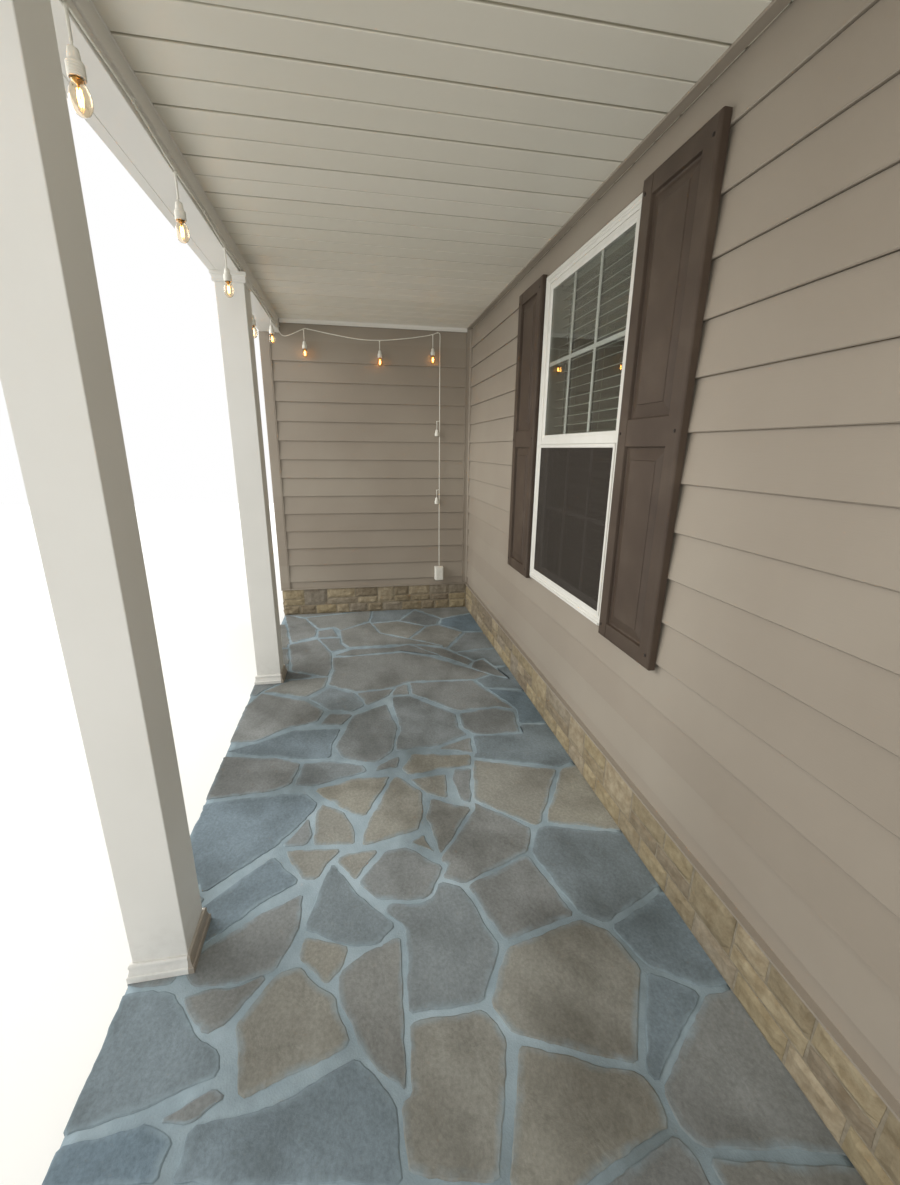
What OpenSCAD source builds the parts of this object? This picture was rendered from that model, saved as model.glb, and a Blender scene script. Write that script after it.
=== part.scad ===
// Front porch of a house: flagstone floor, square posts, a panelled ceiling under a lean-to roof,
// the lapped house wall with one shuttered window, and the end wall that closes one side.
// Millimetres. +Z is up, the open front faces -Y, the house wall is at +Y, the end wall at -X.
// Lengths along the porch are counted from the end wall's face, depths from the house wall's face.

/* [Floor] */
// Height of the porch floor above the ground
floor_h = 150; // [100:5:400]
// Thickness of the flagstones with their mortar bed
flag_t = 40; // [25:1:60]
// How far the flagstones stand out over the slab's edges
flag_lip = 12; // [4:1:20]
// Room left between the post bases and the floor's edges
base_room = 4; // [2:1:60]

/* [Posts] */
// Width of a square post
post_w = 148; // [120:1:180]
// Distance from the house wall to the middle of the posts
post_line = 1618; // [1500:1:1640]
// Distance from the end wall to the middle of the inner post
inner_post_x = 1330; // [1000:5:1500]
// Spacing of the posts along the front
post_spacing = 1889; // [1500:1:2400]
// Height of a base trim
base_h = 57; // [40:1:120]
// How far a base or cap trim stands out from its post
trim_out = 16; // [10:1:20]
// Height of a cap trim
cap_h = 50; // [35:1:80]

/* [Beam and ceiling] */
// Height of the ceiling above the floor
ceiling_h = 2464; // [2300:1:2750]
// How far the beam hangs below the ceiling
beam_drop = 102; // [60:1:160]
// Width of the beam
beam_w = 150; // [100:1:170]
// How far the beam stands out past the posts' outer faces
beam_past = 20; // [5:1:40]
// Full height of the beam
beam_h = 240; // [200:5:300]
// Thickness of the ceiling panels
ceiling_t = 10; // [8:1:16]
// Width of the trim strip where the ceiling meets the house wall
wall_trim_w = 34; // [20:1:60]
// Thickness of the ceiling trim strips
trim_t = 8; // [5:1:12]
// Height of the trim strip on the beam's inner face
beam_trim_h = 65; // [40:1:80]
// Height of the trim strip along the end wall
end_trim_h = 31; // [20:1:50]

/* [Walls] */
// Thickness of the framed wall behind its siding
wall_t = 140; // [90:5:200]
// Thickness of the plain board on the room side
board_t = 13; // [9:1:16]
// How far the house wall runs on past the roof
wall_past = 60; // [40:10:400]
// How far the house wall rises above the roof
wall_above = 180; // [150:10:600]
// Exposure of one siding course
course = 154; // [100:1:200]
// Thickness of the siding at a course's lower edge
siding_t = 20; // [14:1:24]
// Thickness of the siding at a course's upper edge
siding_thin = 8; // [5:1:12]
// Height of the stone base above the floor
stone_h = 246; // [150:1:400]
// How far the stone base stands out from the siding
stone_out = 14; // [5:1:40]
// Width of the outside corner board's faces
corner_w = 80; // [60:1:120]
// How far the end wall's corner stands out past the floor's edge
corner_past = 5; // [2:1:40]
// Width of the inside corner post's faces
inner_corner_w = 42; // [20:1:60]

/* [Window] */
// Distance from the end wall to the window frame
window_x = 1783; // [1600:1:2200]
// Width of the window frame
window_w = 902; // [700:1:1000]
// Height of the window frame
window_h = 1562; // [1200:1:1700]
// Distance from the window frame's head to the ceiling
window_head = 137; // [60:1:300]
// Width of the window frame's face
frame_w = 37; // [35:1:60]
// Depth of the window frame
frame_d = 80; // [60:1:100]
// How far the window frame stands out from the siding
frame_out = 10; // [5:1:25]
// Width of a sash's face
sash_w = 30; // [30:1:60]
// Height of the rail where the sashes meet
meeting_h = 48; // [40:1:70]
// Thickness of a sash
sash_t = 26; // [20:1:30]
// Thickness of the window glass
glass_t = 16; // [4:1:20]
// Thickness of the insect screen
screen_t = 6; // [4:1:9]
// Width of the trim channel round the window
channel_w = 12; // [8:1:20]
// Thickness of the blind behind the window
blind_t = 54; // [15:1:60]

/* [Shutters] */
// Width of a shutter
shutter_w = 374; // [300:1:400]
// How far a shutter reaches past the window frame at head and foot
shutter_past = 19; // [0:1:40]
// Thickness of a shutter
shutter_t = 30; // [20:1:40]
// Gap between a shutter and the window's trim channel
shutter_gap = 3; // [1:1:20]
// Width of a shutter's stiles and end rails
shutter_stile = 62; // [40:1:80]
// Width of a shutter's middle rail
shutter_rail = 90; // [60:1:120]
// Depth of a shutter's panels below its face
shutter_sunk = 10; // [4:1:14]

/* [Roof] */
// Slope of the roof in degrees
roof_angle = 18.5; // [14:0.5:26]
// Overhang of the eave in front of the beam
eave_out = 50; // [30:5:70]
// Overhang of the roof past the side beam
rake_out = 120; // [60:10:250]
// Depth of a rafter
rafter_d = 140; // [100:5:180]
// Thickness of a rafter
rafter_t = 38; // [30:1:50]
// Greatest spacing of the rafters
rafter_spacing = 600; // [400:10:700]
// Depth of the rafters' seat cut on the beam
seat_cut = 30; // [15:1:45]
// Thickness of the roof deck
deck_t = 15; // [12:1:24]
// Thickness of the shingles
shingle_t = 12; // [8:1:20]
// How far the fascia hangs below the soffit
fascia_lip = 6; // [2:1:12]
// Thickness of the fascia and the rake board
fascia_t = 20; // [16:1:30]
// Height of the flashing on the wall above the roof
flashing_h = 100; // [60:5:140]
// Thickness of the flashing
flashing_t = 3; // [2:0.5:5]

/* [Lights] */
// Distance from a post's middle to the next lamp towards the open end
lamp_after = 407; // [150:1:500]
// Distance from a bay's last lamp to the next post's middle
lamp_before = 169; // [150:1:500]
// Distance from the inner post's middle back to the end bay's near lamp
end_lamp_near = 144; // [120:1:300]
// Distance from the inner post's middle back to the end bay's far lamp
end_lamp_far = 890; // [700:5:1000]
// Diameter of the lamp cord
cord_d = 7; // [5:0.5:10]
// Length of the drop from the cord to a socket
drop_h = 75; // [30:1:90]
// How much lower each of the first four lamps from the end wall hangs than the others
lamp_lower = [-25, 80, 12, 14]; // [-40:1:100]
// Diameter of a lamp socket
socket_d = 36; // [28:1:44]
// Height of a lamp socket
socket_h = 52; // [40:1:70]
// Diameter of a glass bulb
bulb_d = 46; // [38:1:64]
// Length of a glass bulb
bulb_h = 67; // [50:1:110]
// Diameter of a cord hook's wire
hook_d = 4; // [3:0.5:6]
// Height of the outlet box's top above the floor
outlet_h = 420; // [300:10:600]
// Width of the outlet box
outlet_w = 80; // [60:1:120]
// Length of the outlet box
outlet_l = 130; // [100:5:160]
// Depth of the outlet box
outlet_d = 62; // [40:1:80]

/* [Hidden] */

eps = 1;
// gap left where two pieces meet along a slant or a corner
seat = 0.3;
// gaps in the window: in front of the screen, and between its moving layers
screen_in = 3;
sash_gap = 2;
// how far the trim channel stands out from the wall's face
channel_out = 2;
slope = tan(roof_angle);
post_x = [inner_post_x, inner_post_x + post_spacing, inner_post_x + 2 * post_spacing];
corner_x = post_x[2];
post_y = -post_line;
ceiling_z = floor_h + ceiling_h;
flag_out = post_line + post_w / 2 + trim_out + base_room;
slab_depth = flag_out - flag_lip;
beam_out = post_line + post_w / 2 + beam_past;
end_wall_out = flag_out + corner_past;
beam_z = ceiling_z - beam_drop;
beam_top = beam_z + beam_h;
beam_in = beam_out - beam_w;
side_in = corner_x - beam_w / 2;
side_out = corner_x + beam_w / 2;
slab_end = corner_x + post_w / 2 + trim_out + base_room;
stone_top = floor_h + stone_h;
lap0 = ceiling_z - course;
core_y0 = siding_t;
core_y1 = siding_t + wall_t;
room_y = core_y1 + board_t;
core_x0 = -siding_t - wall_t;
room_x = core_x0 - board_t;
wall_end = side_out + rake_out + fascia_t + wall_past;
pilaster_d = post_w / 2;
inner_corner_d = inner_corner_w / 2;

// the roof's planes: height above the ground at depth y in front of the house wall
function rafter_foot(y) = beam_top - seat_cut + (beam_out + y) * slope;
rafter_v = rafter_d * sqrt(1 + slope * slope);
deck_v = deck_t * sqrt(1 + slope * slope);
shingle_v = shingle_t * sqrt(1 + slope * slope);
function deck_foot(y) = rafter_foot(y) + rafter_v;
eave_y = -beam_out - eave_out;
roof_x0 = room_x;
roof_x1 = side_out + rake_out;
roof_at_wall = deck_foot(core_y0) + deck_v + shingle_v;
wall_top = roof_at_wall + wall_above;
soffit_z = ceiling_z;
soffit_t = 10;
fascia_h = deck_foot(eave_y) + deck_v - fascia_t * slope - soffit_z + fascia_lip;

// the whole part's box, for the origin at the middle of its foot
box_x0 = room_x;
box_x1 = wall_end;
box_y0 = eave_y - fascia_t;
box_y1 = room_y;
mid = [(box_x0 + box_x1) / 2, (box_y0 + box_y1) / 2, 0];

// the window's heights and depths
win_x0 = window_x;
win_x1 = window_x + window_w;
win_z1 = ceiling_z - window_head;
win_z0 = win_z1 - window_h;
win_mid = (win_z0 + win_z1) / 2;
meeting_z = win_mid + sash_w / 2 - meeting_h;
win_front = -frame_out;
win_back = win_front + frame_d;
upper_y = win_front + screen_in + screen_t + sash_gap;
lower_y = upper_y + sash_t + sash_gap;

// shutters
far_x0 = win_x0 - channel_w - shutter_gap - shutter_w;
near_x0 = win_x1 + channel_w + shutter_gap;
shutter_h = window_h + 2 * shutter_past;
shutter_z0 = win_z0 - shutter_past;

module place() translate(-mid) children();
module block(a, b) translate(a) cube(b - a);
module along_x(x0, x1) translate([x0, 0, 0]) rotate([90, 0, 90]) linear_extrude(x1 - x0) children();
module along_y(y0, y1) translate([0, y1, 0]) rotate([90, 0, 0]) linear_extrude(y1 - y0) children();

// thickness of the siding at height z: thin below a lap line, thick down at the next one
function lap_over(z) = lap0 + ceil((z - lap0) / course) * course;
function siding_at(z) = siding_thin + (siding_t - siding_thin) * (lap_over(z) - z) / course;

// the saw-tooth outline of siding between two heights, with no lap line above the height given
function lap_outline(top, bottom, highest) = concat(
    [[0, top], [siding_at(top), top]],
    [for (z = [highest : -course : bottom + eps]) each [[siding_t, z], [siding_thin, z]]],
    [[siding_at(bottom), bottom], [0, bottom]]);
function highest_lap(top) = lap0 + floor((top - eps - lap0) / course) * course;

// a frame of four bars standing in the wall, as one ring
module ring(x0, x1, z0, z1, w, y0, y1) difference() {
    block([x0, y0, z0], [x1, y1, z1]);
    block([x0 + w, y0 - eps, z0 + w], [x1 - w, y1 + eps, z1 - w]);
}

module window_hole(y0, y1, grow = 0)
    block([win_x0 - grow, y0, win_z0 - grow], [win_x1 + grow, y1, win_z1 + grow]);

module porch_slab() color("#9b9890") place() {
    block([room_x, -slab_depth, 0], [slab_end - flag_lip, room_y, floor_h - flag_t]);
    block([core_x0, core_y0, 0], [wall_end, room_y, floor_h - flag_t]);
}

module flagstone_floor() color("#77797c") place()
    block([-siding_t, -flag_out, floor_h - flag_t], [slab_end, core_y0, floor_h]);

module house_wall() color("#c9b48c") place() difference() {
    block([core_x0, core_y0, floor_h - flag_t], [wall_end, core_y1, wall_top]);
    window_hole(core_y0 - eps, core_y1 + eps);
}

module end_wall() color("#c9b48c") place() difference() {
    along_x(core_x0, -siding_t) polygon([
        [-end_wall_out + siding_t, floor_h - flag_t], [core_y0, floor_h - flag_t],
        [core_y0, deck_foot(core_y0)], [-end_wall_out + siding_t, deck_foot(-end_wall_out + siding_t)]]);
    block([core_x0 - eps, -beam_out, beam_z], [-siding_t + eps, -beam_in, beam_top]);
}

module room_boards() color("#dcd8cf") place() {
    difference() {
        block([room_x, core_y1, floor_h - flag_t], [wall_end, room_y, wall_top]);
        window_hole(core_y1 - eps, room_y + eps);
    }
    along_x(room_x, core_x0 - seat) polygon([
        [-end_wall_out + siding_t, floor_h - flag_t], [core_y1 - seat, floor_h - flag_t],
        [core_y1 - seat, deck_foot(core_y0)], [core_y0, deck_foot(core_y0)],
        [-end_wall_out + siding_t, deck_foot(-end_wall_out + siding_t)]]);
}

// the space that the porch's roof and room leave in the house wall's siding
module porch_gap() {
    block([core_x0 - eps, -eps, ceiling_z], [side_out, core_y0 + eps, roof_at_wall + flashing_h]);
    block([side_in, -eps, beam_z], [side_out, core_y0 + eps, roof_at_wall]);
    block([side_out - eps, -eps, deck_foot(0) - soffit_t],
          [roof_x1 + fascia_t, core_y0 + eps, roof_at_wall + flashing_h]);
    block([corner_x - post_w / 2, -eps, 0], [corner_x + post_w / 2, core_y0 + eps, wall_top - course]);
}

module lapped_wall() along_x(core_x0, wall_end) mirror([1, 0]) translate([-core_y0, 0])
    polygon(lap_outline(wall_top, stone_top, highest_lap(wall_top)));

module house_siding() color("#9a8d7d") place() difference() {
    lapped_wall();
    block([core_x0 - eps, -eps, 0], [inner_corner_d, core_y0 + eps, wall_top + eps]);
    window_hole(-eps, core_y0 + eps, channel_w);
    porch_gap();
    block([0, -eps, ceiling_z], [wall_end + eps, core_y0 + eps, wall_top + eps]);
}

module end_siding() color("#9a8d7d") place()
    along_y(-end_wall_out + corner_w, -inner_corner_w) translate([-siding_t, 0])
        polygon(lap_outline(ceiling_z, stone_top, lap0 - course));

module upper_siding() color("#9a8d7d") place() difference() {
    lapped_wall();
    porch_gap();
    block([core_x0 - eps, -eps, 0], [wall_end + eps, core_y0 + eps, ceiling_z]);
}

module house_stone_base() color("#8a7a66") place() difference() {
    union() {
        block([-siding_t, -stone_out, floor_h], [slab_end, core_y0, stone_top]);
        block([slab_end, -stone_out, 0], [wall_end, core_y0, stone_top]);
    }
    block([corner_x - post_w / 2, -stone_out - eps, floor_h - eps],
          [corner_x + post_w / 2, core_y0 + eps, stone_top + eps]);
}

module end_stone_base() color("#8a7a66") place() {
    block([-siding_t, -end_wall_out, floor_h], [stone_out, -stone_out, stone_top]);
    block([core_x0, -end_wall_out, floor_h - flag_t], [-siding_t, -end_wall_out + siding_t, stone_top]);
}

module corner_board() color("#a39786") place() {
    block([-siding_t, -end_wall_out, stone_top], [0, -end_wall_out + corner_w, beam_z]);
    block([core_x0, -end_wall_out, stone_top], [-siding_t, -end_wall_out + siding_t, beam_z]);
}

module inside_corner_post() color("#8f8374") place() {
    block([-siding_t, -inner_corner_w, stone_top], [0, core_y0, ceiling_z]);
    block([-siding_t, 0, stone_top], [inner_corner_d, core_y0, ceiling_z]);
}

module window_frame() color("#f4f4f1") place()
    ring(win_x0, win_x1, win_z0, win_z1, frame_w, win_front, win_back);

module sash(z0, z1, y) ring(win_x0 + frame_w, win_x1 - frame_w, z0, z1, sash_w, y, y + sash_t);

module upper_sash() color("#f0f0ec") place() {
    sash(win_mid - sash_w / 2, win_z1 - frame_w, upper_y);
    block([win_x0 + frame_w, upper_y, meeting_z], [win_x1 - frame_w, upper_y + sash_t, win_mid]);
}

module lower_sash() color("#f0f0ec") place() sash(win_z0 + frame_w, win_mid + sash_w / 2, lower_y);

module pane(z0, z1, y)
    block([win_x0 + frame_w + sash_w, y + (sash_t - glass_t) / 2, z0 + sash_w],
          [win_x1 - frame_w - sash_w, y + (sash_t + glass_t) / 2, z1 - sash_w]);

module window_glass() color("#9fb0b4") place() {
    pane(win_mid - sash_w / 2, win_z1 - frame_w, upper_y);
    pane(win_z0 + frame_w, win_mid + sash_w / 2, lower_y);
}

module insect_screen() color("#3b3a38") place()
    block([win_x0 + frame_w, win_front + screen_in, win_z0 + frame_w],
          [win_x1 - frame_w, win_front + screen_in + screen_t, meeting_z]);

module window_blind() color("#e9e7e0") place()
    block([win_x0 + frame_w / 2, win_back, win_z0 + frame_w / 2],
          [win_x1 - frame_w / 2, win_back + blind_t, win_z1 - frame_w / 2]);

module window_channel() color("#a39786") place()
    ring(win_x0 - channel_w, win_x1 + channel_w, win_z0 - channel_w, win_z1 + channel_w, channel_w,
         -channel_out, core_y0);

module shutter(x0) difference() {
    block([x0, -shutter_t, shutter_z0], [x0 + shutter_w, 0, shutter_z0 + shutter_h]);
    for (half = [0, 1])
        block([x0 + shutter_stile, -shutter_t - eps,
               half == 0 ? shutter_z0 + shutter_stile : win_mid + shutter_rail / 2],
              [x0 + shutter_w - shutter_stile, -shutter_t + shutter_sunk,
               half == 0 ? win_mid - shutter_rail / 2 : shutter_z0 + shutter_h - shutter_stile]);
}

module far_shutter() color("#4b3e33") place() shutter(far_x0);
module near_shutter() color("#4b3e33") place() shutter(near_x0);

module post(x)
    block([x - post_w / 2, post_y - post_w / 2, floor_h], [x + post_w / 2, post_y + post_w / 2, beam_z]);

module inner_post() color("#f2f1ec") place() post(post_x[0]);
module middle_post() color("#f2f1ec") place() post(post_x[1]);
module corner_post() color("#f2f1ec") place() post(post_x[2]);
module wall_post() color("#f2f1ec") place()
    block([corner_x - post_w / 2, -pilaster_d, floor_h], [corner_x + post_w / 2, core_y0, beam_z]);

// a square collar round a post, standing out by the length given
module collar(x, y0, y1, z0, z1, out) difference() {
    block([x - post_w / 2 - out, y0 - out, z0], [x + post_w / 2 + out, min(y1 + out, 0), z1]);
    block([x - post_w / 2, y0, z0 - eps], [x + post_w / 2, y1 + (y1 > 0 ? eps : 0), z1 + eps]);
}

module stepped_collar(z0, z1, wide_low) for (k = [0 : len(post_x)]) {
    x = k < len(post_x) ? post_x[k] : corner_x;
    y0 = k < len(post_x) ? post_y - post_w / 2 : -pilaster_d;
    y1 = k < len(post_x) ? post_y + post_w / 2 : core_y0;
    step = (z0 + z1) / 2;
    out_y = k < len(post_x) ? 0 : (wide_low ? stone_out : 0);
    difference() {
        union() {
            collar(x, y0, y1, z0, step, wide_low ? trim_out : trim_out / 2);
            collar(x, y0, y1, step, z1, wide_low ? trim_out / 2 : trim_out);
        }
        if (out_y > 0) block([x - post_w, -out_y, z0 - eps], [x + post_w, core_y0, z1 + eps]);
    }
}

module post_bases() color("#ecebe6") place() stepped_collar(floor_h, floor_h + base_h, true);
module post_caps() color("#ecebe6") place() stepped_collar(beam_z - cap_h, beam_z, false);

module front_beam() color("#f1f0eb") place()
    block([core_x0, -beam_out, beam_z], [side_out, -beam_in, beam_top]);

module side_beam() color("#f1f0eb") place()
    block([side_in, -beam_in, beam_z], [side_out, core_y0, beam_top]);

module porch_ceiling() color("#ece9dd") place()
    block([-siding_t, -beam_in, ceiling_z], [side_in, core_y0, ceiling_z + ceiling_t]);

module ceiling_trim() color("#a39786") place() {
    block([0, -wall_trim_w, ceiling_z - trim_t], [side_in - trim_t, 0, ceiling_z]);
    block([0, -beam_in + trim_t + seat, ceiling_z - end_trim_h], [trim_t, -wall_trim_w - seat, ceiling_z]);
}

module beam_trim() color("#f1f0eb") place() {
    block([0, -beam_in, ceiling_z - beam_trim_h], [side_in, -beam_in + trim_t, ceiling_z]);
    block([side_in - trim_t, -beam_in + trim_t + seat, ceiling_z - beam_trim_h], [side_in, 0, ceiling_z]);
}

rafter_bays = ceil((side_in - rafter_t) / rafter_spacing);
ledger_y = core_y0 - rafter_t;

module rafter(x) along_x(x, x + rafter_t) difference() {
    polygon([[eave_y, rafter_foot(eave_y)], [ledger_y, rafter_foot(ledger_y)],
             [ledger_y, deck_foot(ledger_y)], [eave_y, deck_foot(eave_y)]]);
    translate([-beam_out, beam_z]) square([beam_w, beam_h]);
    translate([eave_y - eps, beam_z]) square([eave_out + eps, soffit_z + soffit_t - beam_z]);
}

module roof_frame() color("#c8ab7a") place() {
    for (k = [0 : rafter_bays]) rafter(k * (side_in - rafter_t) / rafter_bays);
    along_x(0, side_in) polygon([[ledger_y, rafter_foot(ledger_y)], [core_y0, rafter_foot(ledger_y)],
                                 [core_y0, deck_foot(core_y0)], [ledger_y, deck_foot(ledger_y)]]);
}

module sloped(x0, x1, y0, y1, up, thick) along_x(x0, x1)
    polygon([[y0, deck_foot(y0) + up], [y1, deck_foot(y1) + up],
             [y1, deck_foot(y1) + up + thick], [y0, deck_foot(y0) + up + thick]]);

module roof_deck() color("#b99a68") place() sloped(roof_x0, roof_x1, eave_y, core_y0, 0, deck_v);

module roof_shingles() color("#4c4a48") place()
    sloped(roof_x0, roof_x1 + fascia_t, eave_y - fascia_t, core_y0, deck_v, shingle_v);

module eave_soffit() color("#ece9dd") place() {
    block([roof_x0, eave_y, soffit_z], [roof_x1, -beam_out, soffit_z + soffit_t]);
    along_x(side_out, roof_x1) polygon([
        [-beam_out + seat, deck_foot(-beam_out) - soffit_t], [core_y0, deck_foot(core_y0) - soffit_t],
        [core_y0, deck_foot(core_y0)], [-beam_out + seat, deck_foot(-beam_out)]]);
}

module fascia() color("#f2f1ec") place()
    block([roof_x0, eave_y - fascia_t, deck_foot(eave_y) + deck_v - fascia_h - fascia_t * slope],
          [roof_x1, eave_y, deck_foot(eave_y) + deck_v - fascia_t * slope]);

module rake_board() color("#f2f1ec") place() along_x(roof_x1, roof_x1 + fascia_t)
    polygon([[eave_y - fascia_t, deck_foot(eave_y - fascia_t) + deck_v - fascia_h],
             [core_y0, deck_foot(core_y0) + deck_v - fascia_h],
             [core_y0, deck_foot(core_y0) + deck_v],
             [eave_y - fascia_t, deck_foot(eave_y - fascia_t) + deck_v]]);

module gable_siding() color("#9a8d7d") place() intersection() {
    along_y(-beam_out, core_y0) translate([side_out - siding_t, 0]) union() {
        polygon(lap_outline(wall_top, beam_top, highest_lap(wall_top)));
        translate([siding_t - beam_w, beam_top]) square([beam_w - siding_t, wall_top - beam_top]);
    }
    along_x(side_in, side_out) polygon([
        [-beam_out, beam_top], [core_y0, beam_top],
        [core_y0, deck_foot(core_y0)], [-beam_out, deck_foot(-beam_out)]]);
}

module wall_flashing() color("#6f6a63") place() {
    block([core_x0, core_y0 - flashing_t, roof_at_wall],
          [roof_x1 + fascia_t, core_y0, roof_at_wall + flashing_h]);
    sloped(core_x0, roof_x1 + fascia_t, core_y0 - flashing_h, core_y0, deck_v + shingle_v, flashing_t);
}

// the cord's route: sagging a little from hook to hook on the beam, then across the end wall and down it
cord_gap = 2.5;
hook_rise = 10;
lamp_y = -beam_in + cord_d / 2 + cord_gap;
lamp_z = beam_z + cord_d / 2 + cord_gap;
hook_z = lamp_z + hook_rise;
// the end hooks: back from the side beam, and past the far lamp of the end bay
first_hook_off = 20;
last_hook_off = 200;
cord_start = side_in - first_hook_off;
bay_lamps = 3;
lamp_spacing = (post_spacing - lamp_after - lamp_before) / (bay_lamps - 1);
beam_lamps = concat(
    [inner_post_x - end_lamp_far, inner_post_x - end_lamp_near],
    [for (k = [0, 1], i = [0 : bay_lamps - 1]) post_x[k] + lamp_after + i * lamp_spacing]);
lamp_count = len(beam_lamps) - 1;
last_hook_x = beam_lamps[0] - last_hook_off;
beam_hooks = concat([last_hook_x], [for (k = [1 : lamp_count]) (beam_lamps[k - 1] + beam_lamps[k]) / 2],
    [cord_start]);
beam_route = concat([[cord_start, lamp_y, hook_z]], [for (k = [lamp_count : -1 : 0]) each [
    [beam_lamps[k], lamp_y, lamp_z], [beam_hooks[k], lamp_y, hook_z]]]);

// on the end wall: depth and height of the lamps and the hooks, and the run down to the outlet box
// the third number of a lamp is how much lower than the others it hangs below the cord
wall_x = 32;
wall_lamps = [[-1369, 20, 12], [-773, -35, 0], [-332, 30, 30]];
wall_hooks = [[-1335, 21], [-294, 44]];
run_x = 19;
run_y = -270;
bare_socket_z = [1874, 1286];
bare_socket_off = 24;
outlet_top = floor_h + outlet_h;
wall_route = [
    [80, lamp_y + 6, lamp_z - 18],
    [45, lamp_y + 30, lamp_z - 38],
    [wall_x, lamp_y + 76, lamp_z - 28],
    [wall_x, wall_lamps[0][0], lamp_z + wall_lamps[0][1]],
    [wall_x, wall_hooks[0][0], lamp_z + wall_hooks[0][1]],
    [wall_x, -1150, lamp_z - 8],
    [wall_x, -950, lamp_z - 33],
    [wall_x, wall_lamps[1][0], lamp_z + wall_lamps[1][1]],
    [wall_x, -560, lamp_z - 12],
    [wall_x, -400, lamp_z + 14],
    [wall_x, wall_lamps[2][0], lamp_z + wall_lamps[2][1]],
    [wall_x, wall_hooks[1][0], lamp_z + wall_hooks[1][1]],
    [wall_x - 3, run_y - 6, lamp_z + 40],
    [wall_x - 8, run_y, lamp_z + 18],
    [run_x, run_y, lamp_z - 60],
    [run_x, run_y, 2200],
    [run_x, run_y, bare_socket_z[0]],
    [run_x, run_y, 1580],
    [run_x, run_y, bare_socket_z[1]],
    [run_x + 1, run_y, 900],
    [wall_x - 1, run_y, outlet_top]];
route = concat(beam_route, wall_route);

// lamps with a bulb hang straight from the cord; the two bare sockets hang beside its run down the wall
lamps = concat(
    [for (k = [0 : lamp_count]) [[beam_lamps[k], lamp_y, lamp_z], k < len(lamp_lower) ? lamp_lower[k] : 0]],
    [for (p = wall_lamps) [[wall_x, p[0], lamp_z + p[1]], p[2]]]);
bare_sockets = [for (z = bare_socket_z) [run_x, run_y - bare_socket_off, z]];

// a smooth curve through the route's points, two steps from one point to the next
function bend(a, b, c, d, t) = 0.5 * (2 * b + (c - a) * t + (2 * a - 5 * b + 4 * c - d) * t * t
    + (3 * b - a - 3 * c + d) * t * t * t);
function curve(p) = concat([for (i = [0 : len(p) - 2], t = [0, 0.5])
    bend(p[max(i - 1, 0)], p[i], p[i + 1], p[min(i + 2, len(p) - 1)], t)], [p[len(p) - 1]]);
function unit(v) = v / norm(v);
function way(p, i) = unit(p[min(i + 1, len(p) - 1)] - p[max(i - 1, 0)]);
function square_to(n, t) = unit(n - (n * t) * t);
function sides(p) = [for (i = 0, n = square_to([0, 0, 1], way(p, 0)); i < len(p);
    i = i + 1, n = i < len(p) ? square_to(n, way(p, i)) : n) n];

// a tube of eight sides along a curve
module tube(p, d) {
    n = sides(p);
    rings = [for (i = [0 : len(p) - 1], k = [0 : 7]) let (s = n[i], c = cross(way(p, i), s))
        p[i] + d / 2 * (cos(45 * k) * s + sin(45 * k) * c)];
    last = 8 * (len(p) - 1);
    polyhedron(rings, concat(
        [[for (k = [7 : -1 : 0]) k]], [[for (k = [0 : 7]) last + k]],
        [for (i = [0 : len(p) - 2], k = [0 : 7]) let (a = 8 * i + k, b = 8 * i + (k + 1) % 8) each [
            [a, b, b + 8], [a, b + 8, a + 8]]]));
}

module light_cord() color("#efeee8") place() tube(curve(route), cord_d);

socket_top = cord_d / 2 + drop_h;
bulb_top = socket_top + socket_h;
drop_d = 5;

// outlines from the top down: shares of the diameter beside the axis, shares of the height below the top
socket_outline = [[0.3, 0], [0.36, 0.4], [0.5, 0.5], [0.5, 1]];
bulb_outline = [[0.27, 0], [0.3, 0.12], [0.45, 0.32], [0.5, 0.52], [0.47, 0.7], [0.34, 0.88], [0.12, 0.98]];
function outline(shares, d, top, h) = [for (p = shares) [p[0] * d, -top - p[1] * h]];

module light_socket(p, lower = 0) translate(p) rotate_extrude($fn = 24) polygon(concat(
    [[0, -cord_d / 2 - seat], [drop_d / 2, -cord_d / 2 - seat], [drop_d / 2, -socket_top - lower]],
    outline(socket_outline, socket_d, socket_top + lower, socket_h),
    [[0, -socket_top - lower - socket_h]]));

module light_sockets() color("#efeee8") place() {
    for (p = lamps) light_socket(p[0], p[1]);
    for (p = bare_sockets) {
        light_socket(p);
        translate(p + [0, 0, -cord_d / 2 - drop_d / 2 - 2 * seat]) rotate([-90, 0, 0])
            cylinder(d = drop_d, h = bare_socket_off - cord_d / 2 - seat, $fn = 16);
    }
}

module light_bulb(p, lower) translate(p) rotate_extrude($fn = 24) polygon(concat(
    [[0, -bulb_top - lower]],
    outline(bulb_outline, bulb_d, bulb_top + lower, bulb_h),
    [[0, -bulb_top - lower - bulb_h]]));

module light_bulbs() color("#f4d9a4") place() for (p = lamps) light_bulb(p[0], p[1]);

// a hook: a shank out of its board, turned down and back under the cord that it carries
module hook(p, reach, turn) translate(p) rotate([0, 0, turn]) {
    off = cord_d / 2 + seat + hook_d / 2;
    translate([-reach, 0, off]) rotate([0, 90, 0]) cylinder(d = hook_d, h = reach + off, $fn = 16);
    translate([off, 0, -off]) cylinder(d = hook_d, h = 2 * off, $fn = 16);
    translate([0, 0, -off]) rotate([0, 90, 0]) cylinder(d = hook_d, h = off, $fn = 16);
}

// depth of the end wall's siding face behind its outermost line, in the tall top course
function top_course_in(z) = (siding_t - siding_thin) * (1 - (ceiling_z - z) / (2 * course));

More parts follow.
